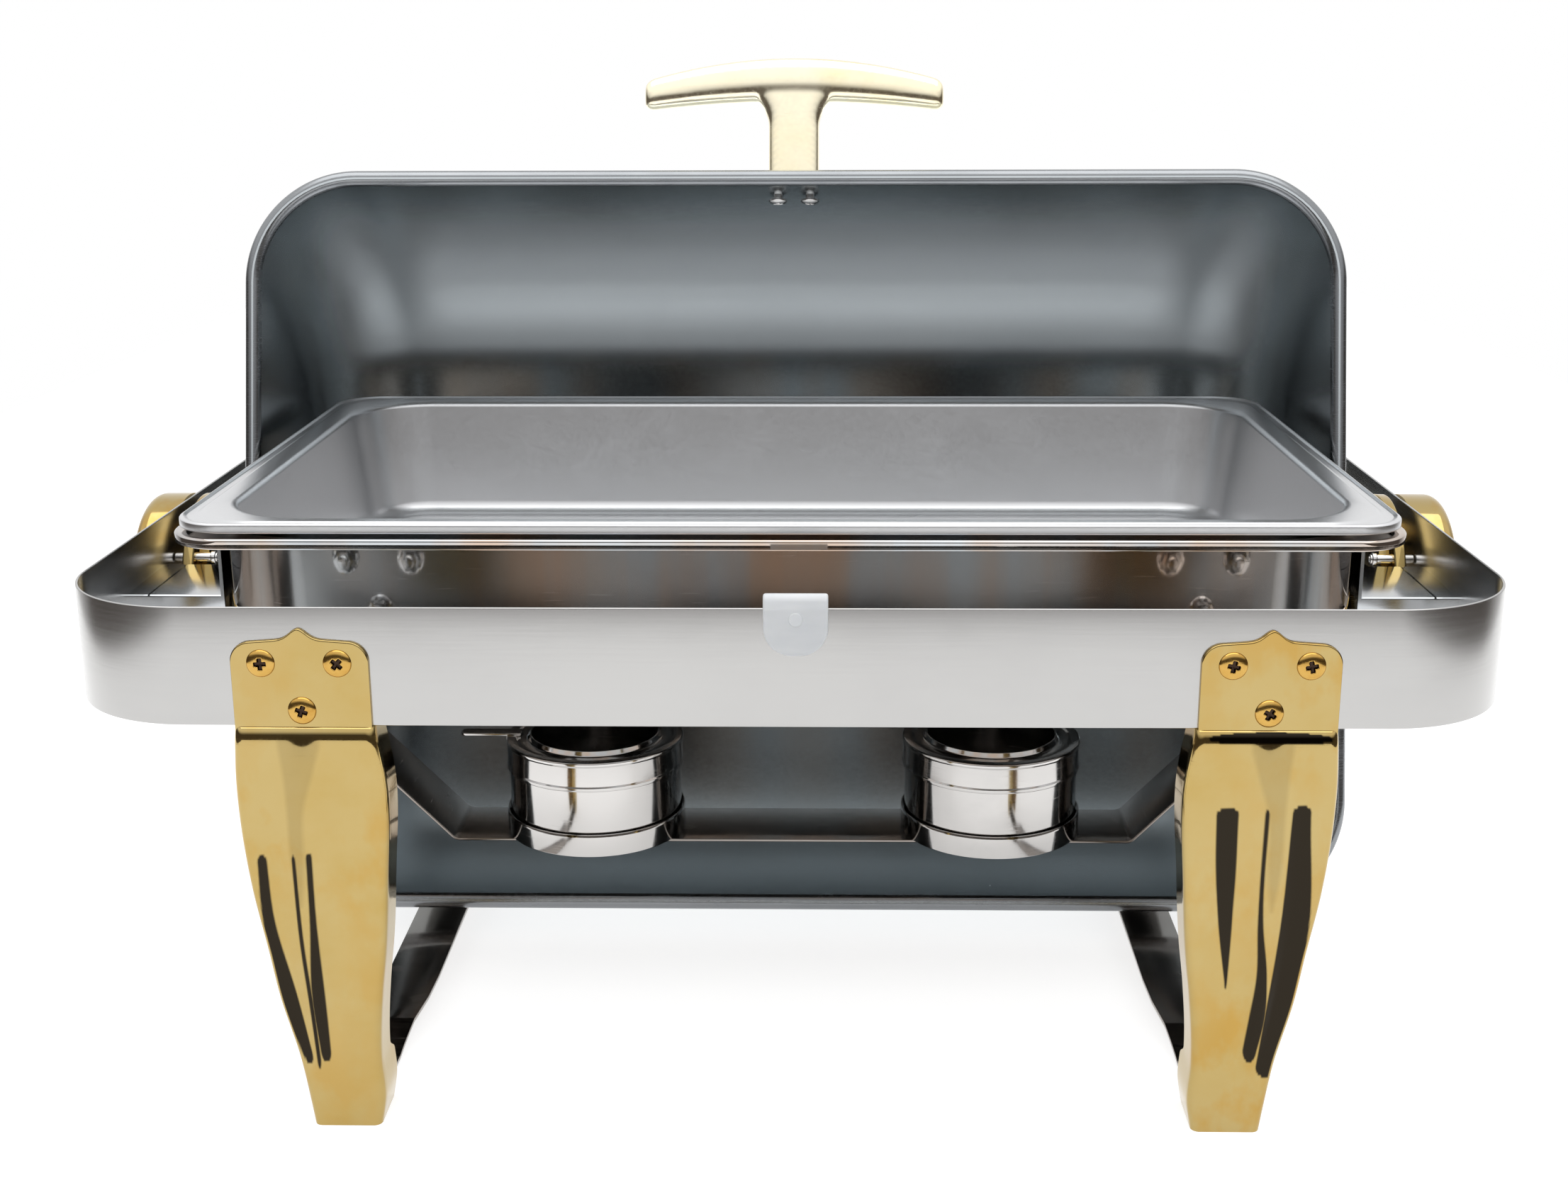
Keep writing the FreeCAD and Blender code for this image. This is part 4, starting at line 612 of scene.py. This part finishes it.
def legSkin(z, inset):
    # the channel's section at each height: flange, rounded corner, relief across the front, corner, flange
    outward = smoothThrough(legHeights, legOutward, z)[:, None] - inset
    inward = -(smoothThrough(legHeights, legInward, z)[:, None] - inset)
    upCrown = np.clip((z - (leg["top"] - leg["crown"])) / leg["crown"], 0, 1)
    step = leg["proud"] - inset - leg["crownDrop"] * (1 - np.sqrt(1 - upCrown ** 2))[:, None]
    front = -leg["face"] - step
    back = -leg["face"] + leg["flange"] + (leg["footFlange"] - leg["flange"]) * (1 - ramp(z, 24, 30))[:, None]
    radius = max(leg["round"] - inset, 1)
    part = np.linspace(0, 1, 7)[None, :]
    turn = np.linspace(0, math.pi / 2, 8)[None, :]
    ones = np.ones((1, 7))
    across = np.linspace(0, 1, 112)[None, 1:-1]
    t = np.concatenate([outward * ones, outward - radius + radius * np.cos(turn),
                        outward - radius + (inward + 2 * radius - outward) * across,
                        inward + radius - radius * np.sin(turn), inward * ones], axis=1)
    side = back + (front + radius - back) * part
    y = np.concatenate([side[:, :-1], side[:, -1:], front + radius - radius * np.sin(turn),
                        front + 0 * across, front + radius - radius * np.cos(turn), side[:, ::-1]], axis=1)
    onFront = np.concatenate([0 * ones, np.sin(turn), np.ones_like(across), np.cos(turn), 0 * ones], axis=1)
    y = y + legRelief(t, z[:, None]) * onFront ** 4
    return t, y, onFront


def legParts(side, turnedRound):
    # pressed channel with a wall of its own, and the flat plate above it that takes the screws
    upCrown = leg["crown"] * np.sin(np.linspace(0, math.pi / 2, 14)) * 0.985
    z = np.concatenate([np.linspace(0, 168, 141), leg["top"] - leg["crown"] + upCrown])
    outerT, outerY, onFront = legSkin(z, 0)
    innerT, innerY, _ = legSkin(z, leg["sheet"])
    # painted dark reflections and shade, kept on the front of the channel only
    shade = legShade(outerT, np.broadcast_to(z[:, None], outerT.shape), "left" if side < 0 else "right")
    shade = np.concatenate([shade * (onFront > 0.9), 0 * innerT], axis=1)
    t = np.concatenate([outerT, innerT[:, ::-1]], axis=1)
    y = np.concatenate([outerY, innerY[:, ::-1]], axis=1)
    x = side * (leg["centre"] + t)
    count = outerT.shape[1]
    caps = stripCap(0, count) + stripCap((len(z) - 1) * 2 * count, count)
    points = np.stack([x, y, np.broadcast_to(z[:, None], x.shape)], -1)
    lower = surface(points, False, True, caps)
    half, shoulder, corner = leg["half"], leg["shoulder"], leg["corner"]
    # top edge: nearly level shoulders with a small rounded tip, quarter circles down to the straight sides
    level = np.linspace(half - corner, corner - half, 81)
    tip = (leg["peak"] - shoulder - leg["rise"]) * np.exp(-(level / leg["tipWide"]) ** 2)
    top = np.stack([level, shoulder + leg["rise"] * (1 - np.abs(level) / (half - corner)) + tip], -1)
    turn = np.linspace(0, math.pi / 2, 12)[:-1, None]
    rightSide = np.concatenate([half - corner + corner * np.cos(turn),
                                shoulder - corner + corner * np.sin(turn)], 1)
    foot = np.array([[-half, leg["top"] - 2.5], [half, leg["top"] - 2.5]])
    outline = np.concatenate([foot, rightSide, top, rightSide[::-1] * np.array([-1, 1])])
    upper = plate(outline, leg["face"] + 0.02, leg["face"] + leg["sheet"], 0.5,
                  lambda a, b, c: np.stack([side * (leg["centre"] + a), -c, b], -1))
    parts = [lower, upper]
    if turnedRound:
        parts = [(spots * np.array([-1, -1, 1]), quads) for spots, quads in parts]
    return parts, np.concatenate([shade.ravel(), np.zeros(len(upper[0]))])


for nodeName, side, turnedRound in (("leg_front_left", -1, False), ("leg_front_right", 1, False),
                                    ("leg_rear_right", -1, True), ("leg_rear_left", 1, True)):
    parts, shade = legParts(side, turnedRound)
    makePiece(nodeName.replace("_", "."), parts, brass, "frame", [nodeName], 50, shade)
print("legs made")

screw = {"radius": 5.8, "dome": 1.8, "side": 15.5, "high": 207, "low": 187, "recess": 1.5, "arm": 0.46,
         "slot": 0.1, "turns": (0.35, 1.1, 0.75, 0.6, 0.2, 0.9)}
handleScrew = {"apart": 8.5, "height": 41, "radius": 4.9, "dome": 1.9, "stand": 5.6, "arm": 0.55,
               "slot": 0.12}
nut = {"flange": 6.4, "hexagon": 5.2}
screwSpots = [(side * leg["centre"] + shift * screw["side"], screw["low"] if shift == 0 else screw["high"])
              for side in (-1, 1) for shift in (-1, 1, 0)]


def crossHead(radius, dome, turn, place, arm=screw["arm"], slot=screw["slot"]):
    # a square grid pressed onto a disc, domed, with a cross-shaped recess sunk in the middle
    line = np.linspace(-1, 1, 65)
    u, v = np.meshgrid(line, line, indexing="ij")
    a, b = u * np.sqrt(1 - v**2 / 2), v * np.sqrt(1 - u**2 / 2)
    away = np.clip(np.hypot(a, b), 0, 1)
    height = dome * np.sqrt(1 - 0.999 * away**2.6)
    c, d = a * math.cos(turn) - b * math.sin(turn), a * math.sin(turn) + b * math.cos(turn)
    first = (1 - ramp(np.abs(c), slot, slot * 1.8)) * (1 - ramp(np.abs(d), arm * 0.8, arm))
    second = (1 - ramp(np.abs(d), slot, slot * 1.8)) * (1 - ramp(np.abs(c), arm * 0.8, arm))
    sunk = np.maximum(first, second)
    height = height - screw["recess"] * sunk * (1 - 0.5 * away)
    points = place(a * radius, b * radius, height)
    n = len(line)
    border = list(range(n)) + [i * n + n - 1 for i in range(1, n)]
    border += [n * (n - 1) + i for i in range(n - 2, -1, -1)] + [i * n for i in range(n - 2, 0, -1)]
    # the second value is a share of painted shade in the cross recess
    return surface(points, extraFaces=[border]), np.clip(sunk * 1.6, 0, 1).ravel()


def makeLegScrews():
    parts, shades = [], []
    face = leg["face"] + leg["sheet"]
    for i, (x, z) in enumerate(screwSpots):
        for back in (-1, 1):
            turn = screw["turns"][i] + 0.4 * back
            head, shade = crossHead(screw["radius"], screw["dome"], turn,
                                    lambda a, b, h: np.stack([x + a, back * (face + 0.05 + h), z + b], -1))
            parts.append(head)
            shades.append(shade)
    makePiece("legScrews", parts, screwBrass, "frame", ["leg_screws"], 60,
              np.concatenate(shades))


def makeNuts():
    # washer flange, six-sided body with turned corners, domed end of the screw
    inside = leg["face"] - apron["sheet"]
    flange, hexagon = nut["flange"], nut["hexagon"]
    profile = [(0, 0), (flange, 0), (flange, 0.6), (flange - 0.6, 1.2), (hexagon * 0.98, 1.4), (hexagon, 1.7),
               (hexagon, 3.6), (hexagon * 0.93, 4.1), (3.4, 4.4), (2.7, 4.45), (2.5, 4.3), (2.5, 5.2),
               (2.1, 5.8), (1.2, 5.98), (0, 6.0)]
    hexed = [0, 0, 0, 0, 0.9, 1, 1, 0.8, 0, 0, 0, 0, 0, 0, 0]
    parts = []
    for x, z in screwSpots:
        for back in (-1, 1):
            rows = [(r, back * (inside - h)) for r, h in profile]
            parts.append(turned(rows, (x, 0, z), "y", 48, hexed))
    makePiece("legNuts", parts, fixingSteel, "frame", ["leg_nuts"], 35)


def makeHandleScrews():
    # domed heads on short necks that stand on the inside of the cover
    parts = []
    radius, height = handleScrew["radius"], handleScrew["height"]
    inside = cover["radius"] - cover["sheet"]
    reach = inside - handleScrew["stand"]
    neck = [(0, -reach), (radius, -reach), (radius, -reach - 0.5), (3.2, -reach - 1.0), (2.5, -reach - 1.4),
            (2.5, -inside + 0.4), (0, -inside + 0.4)]
    for shift in (-1, 1):
        x = handleScrew["apart"] * shift
        head, _ = crossHead(radius, handleScrew["dome"], 0.6 + shift * 0.5,
                            lambda a, b, h: np.stack([x + a, -(reach - h), height + b], -1),
                            handleScrew["arm"], handleScrew["slot"])
        parts.append(openUp(head))
        parts.append(openUp(turned(neck, (x, 0, height), "y", 48)))
    makePiece("handleScrews", parts, fixingSteel, "cover", ["handle_screws"], 60)


makeLegScrews()
makeNuts()
makeHandleScrews()

burner = {"place": 104, "shelf": 48.5, "radius": 45, "sheet": 0.8, "high": 49.5, "lidInner": 45.45,
          "lidOuter": 46.4, "skirt": 14.5, "opening": 33, "collar": 3, "ringInner": 46, "ringOuter": 47,
          "ringHigh": 12, "grip": 24, "gripHalf": 4, "gripThick": 1.5}


def makeBurner(sideName, side):
    # round cup, its lid with a collar and a flat grip, and the ring that holds the cup
    base, r = burner["shelf"], burner["radius"]
    top = base + burner["high"]
    spot = (burner["place"] * side, 0, 0)
    cup = filleted([(0, base), (r, base, 2.2), (r, top, 0.35), (r - burner["sheet"], top, 0.35),
                    (r - burner["sheet"], base + burner["sheet"], 1.6), (0, base + burner["sheet"])], steps=6)
    makePiece("fuelCup." + sideName, [turned(cup, spot, "z", 128)], mirrorSteel, "fuel_holder_" + sideName,
              ["fuel_cup_" + sideName], 50)
    low = top - burner["skirt"]
    inner, outer, opening = burner["lidInner"], burner["lidOuter"], burner["opening"]
    waist = outer - 0.45
    lid = filleted([(inner, low, 0.3), (outer, low, 0.4), (outer, low + 1.8, 0.4), (waist, low + 2.6, 0.4),
                    (waist, top - 1.6, 0.5), (outer, top - 0.8, 0.3), (outer, top + 1, 0.9),
                    (outer - 5, top + 1, 0.6), (outer - 6.2, top + 0.35, 0.6),
                    (opening + 2.2, top + 0.35, 1.2),
                    (opening + 1, top + burner["collar"], 0.4), (opening, top + burner["collar"], 0.4),
                    (opening, top - 0.4, 0.3), (opening + 1.2, top - 0.4, 0.3), (inner, top - 0.4, 0.6)],
                   closed=True, steps=4)
    wide = burner["gripHalf"]
    tab = filleted([(-wide, outer - 8, 1), (wide, outer - 8, 1), (wide, outer + burner["grip"], 3.4),
                    (-wide, outer + burner["grip"], 3.4)], closed=True, steps=8)
    lift = top + 0.45

    def lay(a, b, c):
        if side < 0:
            return np.stack([-burner["place"] - b, a, c], -1)
        return np.stack([burner["place"] + a, b, c], -1)

    grip = plate(tab, lift, lift + burner["gripThick"], 0.4, lay)
    makePiece("fuelLid." + sideName, [turned(lid, spot, "z", 128, closed=True), grip], mirrorSteel,
              "lid_" + sideName, ["fuel_lid_" + sideName], 40)
    inner, outside, high = burner["ringInner"], burner["ringOuter"], base + burner["ringHigh"]
    ring = filleted([(inner, base, 0.2), (outside, base, 0.5), (outside, high - 1.4, 0.3),
                     (outside - 0.3, high, 0.4), (inner, high, 0.3)], closed=True, steps=4)
    makePiece("seatRing." + sideName, [turned(ring, spot, "z", 128, closed=True)], mirrorSteel, "frame",
              ["seat_ring_" + sideName], 50)


for sideName, side in bothSides:
    makeBurner(sideName, side)
print("screws and fuel holders made")

shelf = {"top": 48.5, "half": 22, "flat": 176, "hang": 256, "knee": 130, "sheet": 1.5, "end": 205.5}
runner = {"inner": 172, "wide": 26, "innerStep": 5, "outerStep": 6, "thick": 2, "rise": 6, "end": 222.5,
          "waist": 191, "foot": 167, "full": 143}
clip = {"middle": 5, "half": 13, "low": 211, "top": 236, "wall": 2.6, "outside": 222.6, "inside": 216.2,
        "round": 11, "button": 226, "rows": 30}


def makeShelf():
    # flat strip that rises at both ends and then hangs upright from the ledges
    half = shelf["sheet"] / 2
    right = [(shelf["flat"], shelf["top"] - half, 6), (shelf["hang"] + half, shelf["knee"], 6),
             (shelf["hang"] + half, shelf["end"])]
    line = filleted([(-x, z, *rest) for x, z, *rest in right[::-1]] + right, steps=8)
    part = ribbon(line, boxRing(shelf["half"], half, 0.45), lambda across, a, b: np.stack([a, across, b], -1))
    makePiece("fuelShelf", [part], paintedReflectionSteel, "frame", ["fuel_shelf"], 50)


def makeRunner(sideName, side):
    # flat strip, raised between the feet; its width and middle ease to the neck under each foot
    half = runner["thick"] / 2
    high = runner["rise"] + half
    line = filleted([(-runner["end"], half), (-runner["foot"], half, 9), (-runner["full"], high, 9),
                     (runner["full"], high, 9), (runner["foot"], half, 9), (runner["end"], half)], steps=6)
    extra = [np.linspace(line[i], line[i + 1], 14)[1:-1] for i in range(len(line) - 1)
             if np.linalg.norm(line[i + 1] - line[i]) > 15]
    line = np.concatenate([line] + extra)
    line = line[np.argsort(line[:, 0])]
    away = np.abs(line[:, 0])
    toInner = ramp(away, runner["full"] - 40, runner["foot"] + 6)
    toOuter = ramp(away, runner["full"] - 30, runner["waist"])
    innerEdge = runner["inner"] + runner["innerStep"] * toInner
    outerEdge = runner["inner"] + runner["wide"] - runner["outerStep"] * toOuter
    ring = boxRing(1, half, 0.4)
    ring = np.stack([np.sign(ring[:, 0]) * (1 - (1 - np.abs(ring[:, 0])) * 0.08), ring[:, 1]], -1)
    part = ribbon(line, ring, lambda across, a, b: np.stack([side * across, a, b], -1),
                  (outerEdge - innerEdge) / 2, (outerEdge + innerEdge) / 2)
    makePiece("floorRunner." + sideName, [part], paintedReflectionSteel, "frame", ["floor_runner_" + sideName],
              50)


def makeClip():
    # a soft strip folded over the apron's edge, its two ends rounded off
    half = clip["wall"] / 2
    front, back = -clip["outside"] + half, -clip["inside"] - half
    bend = (back - front) / 2
    turn = np.linspace(math.pi, 0, 15)[1:-1]
    middle, bendLow = (front + back) / 2, clip["top"] - half - bend
    down = np.linspace(0, 1, clip["rows"]) ** 1.6 * (bendLow - clip["low"]) + clip["low"]
    line = np.concatenate([np.stack([np.full(clip["rows"], front), down], -1),
                           np.stack([middle + bend * np.cos(turn), bendLow + bend * np.sin(turn)], -1),
                           np.stack([np.full(clip["rows"], back), down], -1)[::-1]])
    fromEnd = line[:, 1] - clip["low"]
    radius = clip["round"]
    chord = np.sqrt(np.clip(radius**2 - np.clip(radius - fromEnd, 0, radius) ** 2, 0.02, None))
    wide = clip["half"] - radius + chord
    ring = boxRing(clip["half"], half, 1.1, 5) / np.array([clip["half"], 1])
    part = ribbon(line, ring, lambda across, a, b: np.stack([clip["middle"] + across, a, b], -1), wide)
    proud, root = clip["outside"] + 0.5, clip["outside"] - 0.6
    dimple = filleted([(0, proud), (2.6, proud, 0.5), (3.4, root), (0, root)], steps=4)
    button = turned([(r, -y) for r, y in dimple], (clip["middle"], 0, clip["button"]), "y", 40)
    makePiece("bumperClip", [part, button], plastic, "frame", ["bumper_clip"], 60)


makeShelf()
for sideName, side in bothSides:
    makeRunner(sideName, side)
makeClip()

# distances along the hinge line from the middle outwards, radii about it, and the stop pin's place
hingeSizes = {"capNear": 302, "capFar": 322, "capRound": 7, "seatNear": 290.4, "seatFar": 296,
              "seatEdge": 1.1, "boss": 13, "wall": 300.8, "axle": 5, "axleNear": 284.5, "axleFar": 312,
              "head": 8, "headThick": 1.8, "pin": 2.4, "pinY": -50, "pinZ": 207, "pinNear": 279.6,
              "pinFar": 300.4, "collar": 3.2, "collarNear": 0.8, "collarFar": 3.2}


def makeHinge(sideName, side):
    # brass cap outside the apron, fixed disc inside it with its boss, axle with a flat head, and stop pin
    h, radius = hingeSizes, hinge["radius"]
    hub = (0, -hinge["forward"], hinge["height"] - hinge["below"])
    pivot = (0, 0, hinge["height"])
    flip = np.array([1, side])
    dome = filleted([(0, h["capNear"]), (radius, h["capNear"], 0.4), (radius, h["capFar"], h["capRound"]),
                     (radius * 0.4, h["capFar"], 1), (0, h["capFar"])], steps=12)
    makePiece("hingeCap." + sideName, [turned(dome * flip, hub, "x", 128)], brass, "frame",
              ["hinge_cap_" + sideName], 60)
    seat = filleted([(0, h["seatNear"]), (radius, h["seatNear"], h["seatEdge"]),
                     (radius, h["seatFar"], h["seatEdge"]), (0, h["seatFar"])], steps=6)
    root = h["seatNear"] + 2
    boss = filleted([(0, root), (h["boss"], root), (h["boss"], h["wall"]), (0, h["wall"])])
    seatParts = [turned(seat * flip, hub, "x", 128), turned(boss * flip, pivot, "x", 64)]
    makePiece("hingeSeat." + sideName, seatParts, brass, "frame", ["hinge_seat_" + sideName], 60)
    headNear = h["axleNear"] - h["headThick"]
    axle = filleted([(0, headNear), (h["head"], headNear, 0.8), (h["head"], h["axleNear"], 0.2),
                     (h["axle"], h["axleNear"]), (h["axle"], h["axleFar"]), (0, h["axleFar"])], steps=5)
    makePiece("hingeAxle." + sideName, [turned(axle * flip, pivot, "x", 64)], fixingSteel, "frame",
              ["hinge_axle_" + sideName], 50)
    near = h["pinNear"]
    collarNear, collarFar = near + h["collarNear"], near + h["collarFar"]
    pin = filleted([(0, near + 1.5), (1.2, near + 1.3, 0.2), (1.7, near, 0.2), (h["pin"], near, 0.35),
                    (h["pin"], collarNear), (h["collar"], collarNear, 0.5), (h["collar"], collarFar, 0.5),
                    (h["pin"], collarFar), (h["pin"], h["pinFar"], 0.5), (0, h["pinFar"])], steps=4)
    makePiece("stopPin." + sideName, [turned(pin * flip, (0, h["pinY"], h["pinZ"]), "x", 48)], fixingSteel,
              "frame", ["stop_pin_" + sideName], 50)


for sideName, side in bothSides:
    makeHinge(sideName, side)

# the nodes whose own shape is shown
for nodeName, material in (("side_ledge_left", ledgeSteel), ("side_ledge_right", ledgeSteel),
                           ("hinge_disc_left", brass), ("hinge_disc_right", brass),
                           ("cover_rivets", fixingSteel)):
    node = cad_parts[nodeName]
    if not node.material_slots:
        node.data.materials.append(material)
    for materialSlot in node.material_slots:
        materialSlot.material = material
print("hinges made")


# pale floor (edges in metres), how far the light behind fades in, and sky tones by share of height
studio = {"wide": 1.05, "near": -2.8, "far": 3, "glow": 0.72, "fadeFrom": 0.25, "fadeTo": 0.75}
white = (1, 1, 1, 1)
skyTones = ((0.0, (0.1, 0.085, 0.075, 1)), (0.2, (0.1, 0.09, 0.08, 1)), (0.36, (0.8, 0.8, 0.82, 1)),
            (0.5, (1.2, 1.2, 1.2, 1)), (1.0, (1.2, 1.2, 1.2, 1)))


def makeFloor():
    wide, near, far = studio["wide"], studio["near"], studio["far"]
    floorMesh = bpy.data.meshes.new("studioFloor")
    corners = [(-wide, near, 0), (wide, near, 0), (wide, far, 0), (-wide, far, 0)]
    floorMesh.from_pydata(corners, [], [(0, 1, 2, 3)])
    floor = addObject("studioFloor", floorMesh)
    n = Nodes("paleFloor")
    n.link(n.mixColour(n.noise(3, 2), (0.5, 0.5, 0.5), (0.47, 0.47, 0.47)), n.shader.inputs["Base Color"])
    setInputs(n.shader, {"Roughness": 0.9, "Specular IOR Level": 0.1, "Emission Color": white,
                         "Emission Strength": studio["glow"]})
    floorMesh.materials.append(n.material)


def makeSky():
    # in front dark low down and pale above, behind white; the camera itself sees plain white
    world = bpy.data.worlds.new("studio")
    scene.world = world
    world.use_nodes = True
    tree = world.node_tree
    background = tree.nodes["Background"]

    def towardsWhite(factor, colour):
        node = tree.nodes.new("ShaderNodeMix")
        node.data_type = "RGBA"
        tree.links.new(factor, node.inputs["Factor"])
        tree.links.new(colour, node.inputs[6])
        node.inputs[7].default_value = white
        return node.outputs[2]

    place = tree.nodes.new("ShaderNodeTexCoord")
    split = tree.nodes.new("ShaderNodeSeparateXYZ")
    tree.links.new(place.outputs["Generated"], split.inputs[0])
    height = tree.nodes.new("ShaderNodeValToRGB")
    elements = height.color_ramp.elements
    for element, (position, tone) in zip((elements[0], elements[1]), (skyTones[0], skyTones[-1])):
        element.position = position
        element.color = tone
    for position, tone in skyTones[1:-1]:
        elements.new(position).color = tone
    tree.links.new(split.outputs["Z"], height.inputs[0])
    behind = tree.nodes.new("ShaderNodeMapRange")
    setInputs(behind, {"From Min": studio["fadeFrom"], "From Max": studio["fadeTo"]})
    tree.links.new(split.outputs["Y"], behind.inputs["Value"])
    lit = towardsWhite(behind.outputs[0], height.outputs[0])
    seen = tree.nodes.new("ShaderNodeLightPath")
    tree.links.new(towardsWhite(seen.outputs["Is Camera Ray"], lit), background.inputs[0])
    background.inputs[1].default_value = 1.0


def softLight(name, place, aim, size, power):
    data = bpy.data.lights.new(name, "AREA")
    data.shape = "RECTANGLE"
    data.size, data.size_y = size
    data.energy = power
    light = addObject(name, data)
    light.location = place
    direction = np.array(aim, float) - np.array(place, float)
    light.rotation_euler = Vector(direction).to_track_quat("-Z", "Y").to_euler()


makeFloor()
makeSky()
softLight("overhead", (0, -0.2, 2.6), (0, 0, 0.2), (3.2, 2.4), 42)

view = {"sensor": 36, "lens": 44.521519, "place": (0.0161, -0.9623, 0.4413), "down": 15.31, "left": 1.21,
        "roll": -0.2}
cameraData = bpy.data.cameras.new("camera")
camera = addObject("camera", cameraData)
scene.camera = camera
cameraData.sensor_width = view["sensor"]
cameraData.lens = view["lens"]
cameraData.clip_start = 0.01
camera.matrix_world = (Matrix.Translation(view["place"]) @ Matrix.Rotation(math.radians(view["left"]), 4, "Z")
                       @ Matrix.Rotation(math.radians(90 - view["down"]), 4, "X")
                       @ Matrix.Rotation(math.radians(view["roll"]), 4, "Z"))
scene.view_settings.view_transform = "Standard"
print("studio and camera set")
